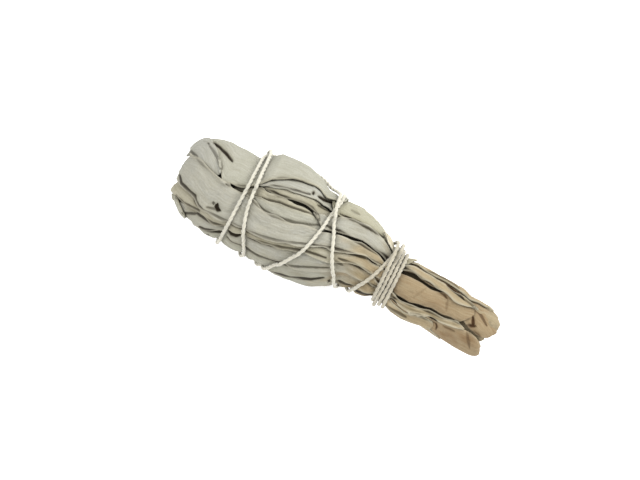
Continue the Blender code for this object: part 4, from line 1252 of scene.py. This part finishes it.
@dataclass
class Sprigs:
    """Four leafy sprigs: a ribbed middle with two long blades each."""

    form: BunchForm
    maker: LeafMaker
    directions: tuple[float, ...] = (-38.0, 55.0, 147.0, 233.0)
    lobes: tuple[Row, ...] = ((-2.0, 2.3, 2.6), (5.3, 0.9, 2.0), (0.5, -3.9, 2.1), (-3.9, -2.6, 1.6))
    sides: int = 28
    starts: tuple[float, ...] = (0.9, 2.8, 1.6, 2.2)
    last: float = 95.0
    rings: int = 150
    depth: float = 5.2
    depth_at_stem: float = 4.2
    stem_to: float = 25.0
    belly_from: float = 60.0
    blade_swing: float = 18.5
    blade_half: float = 21.5
    ribs: int = 7
    rib_height: float = 0.06
    rib_twist: float = 0.02
    fine_ribs: int = 13
    fine_rib_height: float = 0.03
    fine_rib_twist: float = 0.11
    inner_stems: int = 3
    inner_radius: float = 1.35
    inner_reach: tuple[float, float] = (3.6, 1.6)
    inner_turn: float = 0.3
    inner_start: float = 3.0
    inner_stagger: float = 2.1
    inner_last: float = 72.0
    inner_rings: int = 120
    inner_sides: int = 12
    inner_seed: int = 500
    inner_wave: float = 26.0
    inner_waver: float = 0.3
    inner_ribs: int = 5
    inner_rib_height: float = 0.05
    inner_round: tuple[float, float] = (0.05, 1.2)
    neck_radius: float = 7.3
    spread_power: float = 0.8
    core_share: float = 0.405
    core_clearance: float = 0.2
    core_overlap: float = 0.35
    taper_from: float = 84.0
    taper_length: float = 14.5
    lobe_to: float = 8.0
    core_from: float = 30.0
    round_start: float = 0.12
    round_length: float = 2.6
    blade_depth: float = 4.6
    blade_rise: float = 2.2
    blade_wall: float = 0.5
    weld: float = 0.001
    blade_tip: float = 107.5
    tip_stagger: float = 1.5
    blade_stagger: float = 1.3
    blade_stations: tuple[float, ...] = (93, 86, 78, 70, 62, 54, 46, 38, 30, 25)
    blade_widths: tuple[float, ...] = (0.9, 1, 1, 1, 1, 1, 1, 1, 1, 0.95, 0.85, 0.6)
    lean_from: float = 60.0
    lean_to: float = 30.0
    shade: float = 0.75
    shade_from: float = 8.0
    shade_full: float = 20.0
    head_light: float = 0.75
    head_light_from: float = 90.0
    head_light_to: float = 97.0
    pattern_width: float = 0.5
    pattern_step: float = 7.0
    seed: int = 300

    def depth_at(self, s: np.ndarray) -> np.ndarray:
        """How far the sprigs lie under the outline."""
        return self.depth_at_stem + (self.depth - self.depth_at_stem) * smooth_step(self.stem_to, self.belly_from, s)

    def core(self, number: int) -> np.ndarray:
        """Rings of points along the bunched middle of a sprig.

        Args:
            number: Which sprig.

        Returns:
            A grid of points in millimetres, one ring to a row.
        """
        turned = math.radians(self.directions[number])
        side, front, lobe_radius = self.lobes[number]
        s = np.linspace(self.starts[number], self.last, self.rings)[:, None]
        limit = self.form.radius(s) - self.depth_at(s)
        taper = np.maximum(0.0, (s - self.taper_from) / self.taper_length)
        limit = limit * np.sqrt(np.maximum(0.0, 1 - taper**2))
        radius = self.core_share * limit - self.core_clearance
        reach = limit + self.core_overlap - radius
        blend = smooth_step(self.lobe_to, self.core_from, s)
        round_end = np.sqrt(np.minimum(1.0, self.round_start + (s - s.min()) / self.round_length))
        angles = np.linspace(0, 2 * math.pi, self.sides + 1)[None, :]
        radius = ((1 - blend) * lobe_radius + blend * radius) * round_end
        ribs = 1 + self.rib_height * np.sin(self.ribs * angles + number + self.rib_twist * s)
        ribs = ribs + self.fine_rib_height * np.sin(self.fine_ribs * angles + self.fine_rib_twist * s)
        radius = radius * np.where(angles == angles.max(), ribs[:, :1], ribs)
        sideways = (1 - blend) * side + blend * (reach * math.sin(turned) + self.form.offset(s))
        forward = (1 - blend) * front + blend * reach * math.cos(turned)
        return self.form.place(s, forward + radius * np.cos(angles), sideways + radius * np.sin(angles))

    def inner_stem(self, number: int, which: int) -> np.ndarray:
        """Rings of points along one of the thin stems that fill the neck and the stem end.

        Args:
            number: Which sprig.
            which: Which of its stems.

        Returns:
            A grid of points in millimetres, one ring to a row.
        """
        place = number * self.inner_stems + which
        turned = 2 * math.pi * place / (len(self.directions) * self.inner_stems) + self.inner_turn
        middle = self.inner_reach[which % 2]
        s = np.linspace(self.inner_start + self.inner_stagger * (place % 3), self.inner_last, self.inner_rings)
        s = s[:, None]
        angles = np.linspace(0, 2 * math.pi, self.inner_sides + 1)[None, :]
        waves = Waves(self.inner_seed + place, self.inner_wave, self.inner_wave)
        spread = (self.form.radius(s) / self.neck_radius) ** self.spread_power
        reach = middle * spread + self.inner_waver * waves.at(s, 0 * s)
        radius = self.inner_radius * spread * (1 + self.inner_rib_height * np.sin(self.inner_ribs * angles))
        start, length = self.inner_round
        radius = radius * np.sqrt(np.clip((s - s.min() + start) / length, 0, 1))
        forward = reach * math.cos(turned) + radius * np.cos(angles)
        sideways = reach * math.sin(turned) + self.form.offset(s) + radius * np.sin(angles)
        return self.form.place(s, forward, sideways)

    def blade_plan(self, number: int, side: int) -> LeafPlan:
        """Plan one of a sprig's two long blades.

        Args:
            number: Which sprig.
            side: -1 or 1, for the blade on either side of the sprig.

        Returns:
            The blade's plan.
        """
        line = self.directions[number] + side * self.blade_swing
        tip = self.blade_tip - self.tip_stagger * ((number + side) % 2)
        places = [tip, tip - 4] + [place - self.blade_stagger * side for place in self.blade_stations]
        rows = []
        for place, width in zip(places, self.blade_widths):
            half = self.blade_half * width
            lean = -side * (self.blade_half - half) * float(smooth_step(self.lean_from, self.lean_to, place))
            rows.append((place, line + lean - half, line + lean + half))
        return LeafPlan(f"sprig_{number + 1}", "olive", self.blade_depth, tuple(rows), side=Grow.BACK,
                        head_rise=self.blade_rise)

    def build(self) -> None:
        """Lay the blades first, so that the leaves find them, and build each sprig as one piece."""
        for number in range(len(self.directions)):
            shape = bmesh.new()
            layers = {name: shape.verts.layers.float.new(name) for name in MASKS}
            lay_layer = shape.verts.layers.float_vector.new("lay")
            grids = [self.core(number)] + [self.inner_stem(number, k) for k in range(self.inner_stems)]
            round_bodies = len(grids)
            for side in (-1, 1):
                plan = self.blade_plan(number, side)
                sheet = self.maker.lay(plan, self.seed + 10 * number + side, lift=False)
                self.maker.sheets.remove(sheet)
                grids.append(self.form.to_space(sheet.s, sheet.psi, sheet.rho))
            for which, grid in enumerate(grids):
                rows, columns = grid.shape[0] - 1, grid.shape[1] - 1
                made = bmesh.ops.create_grid(shape, x_segments=columns, y_segments=rows, size=0.5)
                places = self.form.stem_x - grid[..., 0]
                stalk = smooth_step(self.belly_from, self.stem_to, places)
                # The sprigs lie inside the bunch and are painted with shade that grows away from the stem end and
                # lifts by the head.
                light = self.head_light * smooth_step(self.head_light_from, self.head_light_to, places)
                shade = smooth_step(self.shade_from, self.shade_full, places) * (1 - light)
                for vertex, r, c in grid_places(made["verts"], rows, columns):
                    vertex[lay_layer] = (c * self.pattern_width, places[r, c], which * self.pattern_step)
                    vertex[layers["stalk"]] = stalk[r, c]
                    vertex[layers["deep_shade"]] = self.shade * shade[r, c]
                    vertex.co = grid[r, c] * MM
                if which >= round_bodies:
                    faces = list(dict.fromkeys(face for vertex in made["verts"] for face in vertex.link_faces))
                    bmesh.ops.solidify(shape, geom=faces, thickness=self.blade_wall * MM)
                else:
                    bmesh.ops.remove_doubles(shape, verts=made["verts"], dist=self.weld * MM)
                    edges = [edge for edge in shape.edges if edge.is_boundary]
                    bmesh.ops.holes_fill(shape, edges=edges, sides=0)
            # Solidify makes the rims in no fixed order, and each run has to give the same mesh.
            for place, face in enumerate(sorted(shape.faces, key=lambda face: face.calc_center_median()[:])):
                face.index = place
            shape.faces.sort()
            bmesh.ops.recalc_face_normals(shape, faces=shape.faces)
            self.finish(shape, number)

    def finish(self, shape: bmesh.types.BMesh, number: int) -> None:
        """Put a sprig in the scene with its finish.

        Args:
            shape: The sprig's stems and blades.
            number: Which sprig.
        """
        node = f"sprig_{number + 1}"
        mesh = to_mesh(node + "_stems", shape)
        made = to_scene(node + "_stems", mesh)
        mesh.materials.append(FINISHES["sprig"].material(node + "_finish"))
        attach(made, BODY)
        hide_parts(node)
        LOG.info("%s: %d faces", made.name, len(mesh.polygons))


@dataclass
class TieString:
    """The cotton string that binds the bunch, as two twisted plies."""

    form: BunchForm
    radius: float = 0.55
    ply_radius: float = 0.38
    lay_length: float = 3.4
    step: float = 0.30
    solve_step: float = 0.6
    tension: float = 0.03
    tucked: int = 14
    tuck_depth: float = 0.5
    sink: float = 0.2
    clearance: float = 0.04
    feel: float = 0.4
    turn_clearance: float = 0.06
    cross_slope: float = 0.012
    cross_reach: float = 0.3
    beside_share: float = 1.7
    own_steps: int = 12
    rounds: int = 4
    pull_steps: int = 400
    smooth_steps: int = 7
    first_side: Row = (0.3, 0.2, 0.93)
    route: tuple[tuple[float, float], ...] = (
        (-135, 33.9), (-112, 34.6), (-90, 35.2), (-26, 36.4), (-4, 37.3), (20, 38.7), (42, 40.4), (90, 42.3),
        (161, 46.0), (215, 51.0), (270, 55.6), (304, 55.9), (325, 56.7), (345, 57.2), (362, 58.0),
        (379, 59.3), (402, 62.2), (417, 64.2), (450, 67.2), (485, 69.8), (521, 71.6), (550, 71.6),
        (575, 72.4), (592, 74.4), (607, 77.4), (630, 80.6), (645, 81.3), (675, 81.6), (720, 81.6), (810, 81.4),
        (881, 81.8), (935, 82.0), (990, 80.3), (1068, 79.4), (1090, 78.6), (1110, 76.8), (1135, 74.2), (1170, 73.0),
        (1205, 75.0), (1241, 76.6), (1270, 77.0), (1295, 76.4), (1312, 73.6), (1330, 68.6), (1350, 60.8),
        (1403, 55.9), (1427, 53.5), (1449, 51.3), (1468, 49.1), (1490, 47.2), (1530, 45.7), (1601, 42.5),
        (1655, 39.7), (1710, 36.9), (1755, 35.9), (1800, 35.5), (2160, 34.35), (2520, 33.15), (2880, 31.95),
        (3010, 31.5), (3050, 31.5), (3075, 32.2), (3100, 34.8), (3112, 37.0),
    )

    def path(self, step: float) -> tuple[np.ndarray, np.ndarray]:
        """The route with even steps.

        Args:
            step: Distance between two points.

        Returns:
            Distances from the stem end and degrees turned.
        """
        knots = np.array(self.route, float)
        turned = np.linspace(knots[0, 0], knots[-1, 0], 6000)
        s = smooth_curve(knots[:, 0], knots[:, 1], turned)
        run = np.radians(np.diff(turned)) * self.form.radius(s)[1:]
        walk = np.concatenate([[0], np.cumsum(np.hypot(np.diff(s), run))])
        places = np.linspace(0, walk[-1], int(walk[-1] / step) + 1)
        return np.interp(places, walk, s), np.interp(places, walk, turned)

    def heights(self, relief: Relief, s: np.ndarray, turned: np.ndarray) -> np.ndarray:
        """Pull the string taut over the leaves and over its own earlier turns.

        Args:
            relief: The bunch with all its leaves.
            s: Distances of the string's line from the stem end.
            turned: Degrees that it has turned.

        Returns:
            Distance of the string's line from the bunch's middle.
        """
        wide = relief.spread()
        degrees = np.degrees(self.feel / self.form.radius(s))
        need = np.max([relief.read(wide, s, turned + k * degrees) for k in (-1, 0, 1)], axis=0)
        need = need + self.radius + self.clearance
        need[: self.tucked] -= self.tuck_depth
        chord = np.cos(np.radians(np.gradient(turned)))
        slope = np.gradient(s, turned)
        over = 2 * self.radius + self.turn_clearance
        heights = self.pull_taut(need, chord)
        for _ in range(self.rounds):
            for place in range(self.own_steps, len(s)):
                earlier = np.arange(0, place - self.own_steps + 1)
                around = np.radians((turned[earlier] - turned[place] + 180.0) % 360.0 - 180.0)
                distance = np.hypot(s[earlier] - s[place], around * heights[place])
                crosses = np.abs(slope[place] - slope[earlier]) > self.cross_slope
                near = distance < np.where(crosses, over + self.cross_reach, self.beside_share * self.radius)
                if near.any():
                    need[place] = max(need[place], heights[earlier][near].max() + over)
            heights = self.pull_taut(need, chord)
        window = np.hanning(self.smooth_steps) / np.hanning(self.smooth_steps).sum()
        snug = np.convolve(np.pad(need, self.smooth_steps // 2, mode="edge"), window, mode="valid")
        return np.maximum(snug * (1 - self.tension) + heights * self.tension, need - self.sink)

    def pull_taut(self, need: np.ndarray, chord: np.ndarray) -> np.ndarray:
        """Find the heights of a taut string.

        Args:
            need: Heights that it may not go under.
            chord: Cosine of the turn at each step, by which a straight piece of string dips.

        Returns:
            The string's heights.
        """
        heights = need.copy()
        for _ in range(self.pull_steps):
            middle = heights.copy()
            middle[1:-1] = 0.5 * (heights[:-2] + heights[2:]) * chord[1:-1]
            heights = np.maximum(need, middle)
        return heights

    def build(self, relief: Relief) -> bpy.types.Object:
        """Twist two plies round the string's line.

        Args:
            relief: The bunch with all its leaves.

        Returns:
            The finished piece.
        """
        s, turned = self.path(self.solve_step)
        line = self.form.to_space(s, turned, self.heights(relief, s, turned))
        walk = np.concatenate([[0], np.cumsum(np.linalg.norm(np.diff(line, axis=0), axis=1))])
        places = np.arange(0, walk[-1], self.step)
        line = np.stack([smooth_curve(walk, line[:, k], places) for k in range(3)], axis=1)
        tangent = np.gradient(line, axis=0)
        tangent /= np.linalg.norm(tangent, axis=1, keepdims=True)
        side = np.cross(tangent, self.first_side)
        for place in range(1, len(line)):
            side[place] = side[place - 1] - tangent[place] * (side[place - 1] @ tangent[place])
            side[place] /= np.linalg.norm(side[place])
        other = np.cross(tangent, side)
        curve = bpy.data.curves.new("tie_string_plies", "CURVE")
        curve.dimensions = "3D"
        curve.bevel_depth = self.ply_radius * MM
        curve.bevel_resolution = 1
        curve.use_fill_caps = True
        reach = self.radius - self.ply_radius
        for half_turn in (0.0, math.pi):
            angle = 2 * math.pi * places / self.lay_length + half_turn
            ply = line + reach * (side * np.cos(angle)[:, None] + other * np.sin(angle)[:, None])
            spline = curve.splines.new("POLY")
            spline.points.add(len(ply) - 1)
            spline.points.foreach_set("co", np.c_[ply * MM, np.ones(len(ply))].astype(np.float32).ravel())
            spline.use_smooth = True
        curve.materials.append(StringFinish().material())
        made = to_scene("tie_string_plies", curve)
        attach(made, BODY)
        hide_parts("tie_string")
        LOG.info("%s: %.0f mm long", made.name, walk[-1])
        return made


@dataclass(frozen=True)
class Lamp:
    """A square soft light: where it hangs, in degrees and metres, and how bright it is, in watts."""

    name: str
    azimuth: float
    elevation: float
    away: float
    size: float
    power: float


@dataclass(frozen=True)
class Studio:
    """Pale floor, soft light and the camera, in metres and degrees."""

    azimuth: float = 30.2
    elevation: float = 68.0
    distance: float = 0.42
    lens: float = 85.0
    target: tuple[float, float, float] = (-0.0043, -0.0015, 0.0156)
    floor_half: float = 3.0
    floor_colour: Colour = (0.86, 0.86, 0.86)
    floor_glow: float = 0.4
    clip_start: float = 0.01
    air: float = 1.1
    lamps: tuple[Lamp, ...] = (
        Lamp("key", 140.0, 50.0, 0.9, 0.8, 13.0),
        Lamp("fill", -30.0, 60.0, 1.0, 1.2, 9.0),
    )

    def back(self, azimuth: float, elevation: float) -> Vector:
        """Direction from the object towards a viewer at an azimuth and elevation."""
        a, e = math.radians(azimuth), math.radians(elevation)
        return Vector((math.sin(a) * math.cos(e), -math.cos(a) * math.cos(e), math.sin(e)))

    def floor(self) -> None:
        """Lay the floor."""
        shape = bmesh.new()
        bmesh.ops.create_grid(shape, x_segments=1, y_segments=1, size=self.floor_half)
        mesh = to_mesh("floor", shape)
        paint = bpy.data.materials.new("floor_finish")
        paint.use_nodes = True
        set_inputs(paint.node_tree.nodes["Principled BSDF"], {
            "Base Color": (*self.floor_colour, 1.0), "Roughness": 1.0, "Emission Color": WHITE,
            "Emission Strength": self.floor_glow, "Specular IOR Level": 0.0})
        mesh.materials.append(paint)
        made = to_scene("floor", mesh)

    def face_object(self, name: str, content: object, azimuth: float, elevation: float,
                    away: float) -> bpy.types.Object:
        """Put a light or a camera at a distance from the object, facing it.

        Args:
            name: Name of the new object.
            content: The light or camera.
            azimuth: Direction from the object, in degrees.
            elevation: Height of that direction, in degrees.
            away: Distance from the object, in metres.

        Returns:
            The new object.
        """
        made = to_scene(name, content)
        back = self.back(azimuth, elevation)
        made.location = Vector(self.target) + back * away
        made.rotation_mode = "QUATERNION"
        made.rotation_quaternion = (-back).to_track_quat("-Z", "Y")
        return made

    def build(self) -> None:
        """Set up the whole studio."""
        self.floor()
        for lamp in self.lamps:
            light = bpy.data.lights.new(lamp.name, "AREA")
            light.size = lamp.size
            light.energy = lamp.power
            self.face_object(lamp.name, light, lamp.azimuth, lamp.elevation, lamp.away)
        lens = bpy.data.cameras.new("camera")
        lens.lens = self.lens
        lens.clip_start = self.clip_start
        camera = self.face_object("camera", lens, self.azimuth, self.elevation, self.distance)
        bpy.context.scene.camera = camera
        world = bpy.data.worlds.new("studio_air")
        world.use_nodes = True
        set_inputs(world.node_tree.nodes["Background"], {"Color": WHITE, "Strength": self.air})
        bpy.context.scene.world = world
        bpy.context.scene.view_settings.view_transform = "Standard"


def main() -> None:
    """Build the bunch from the inside out, then the studio round it."""
    logging.basicConfig(level=logging.INFO, format="%(message)s")
    form = BunchForm()
    string = TieString(form)
    relief = Relief(form, string.path(GROOVE_STEP))
    maker = LeafMaker(form, relief)
    Sprigs(form, maker).build()
    draw = np.random.default_rng(FAR_SEED)
    plans = [leaf.plan(draw) for leaf in FAR_LEAVES] + [REST_LEAF] + list(FRONT_LEAVES)
    for number, plan in enumerate(plans):
        maker.lay(plan, SEED_STEP * number + FIRST_SEED)
    for sheet in maker.sheets:
        maker.build(sheet)
    string.build(relief)
    Studio().build()


if __name__ == "__main__":
    main()
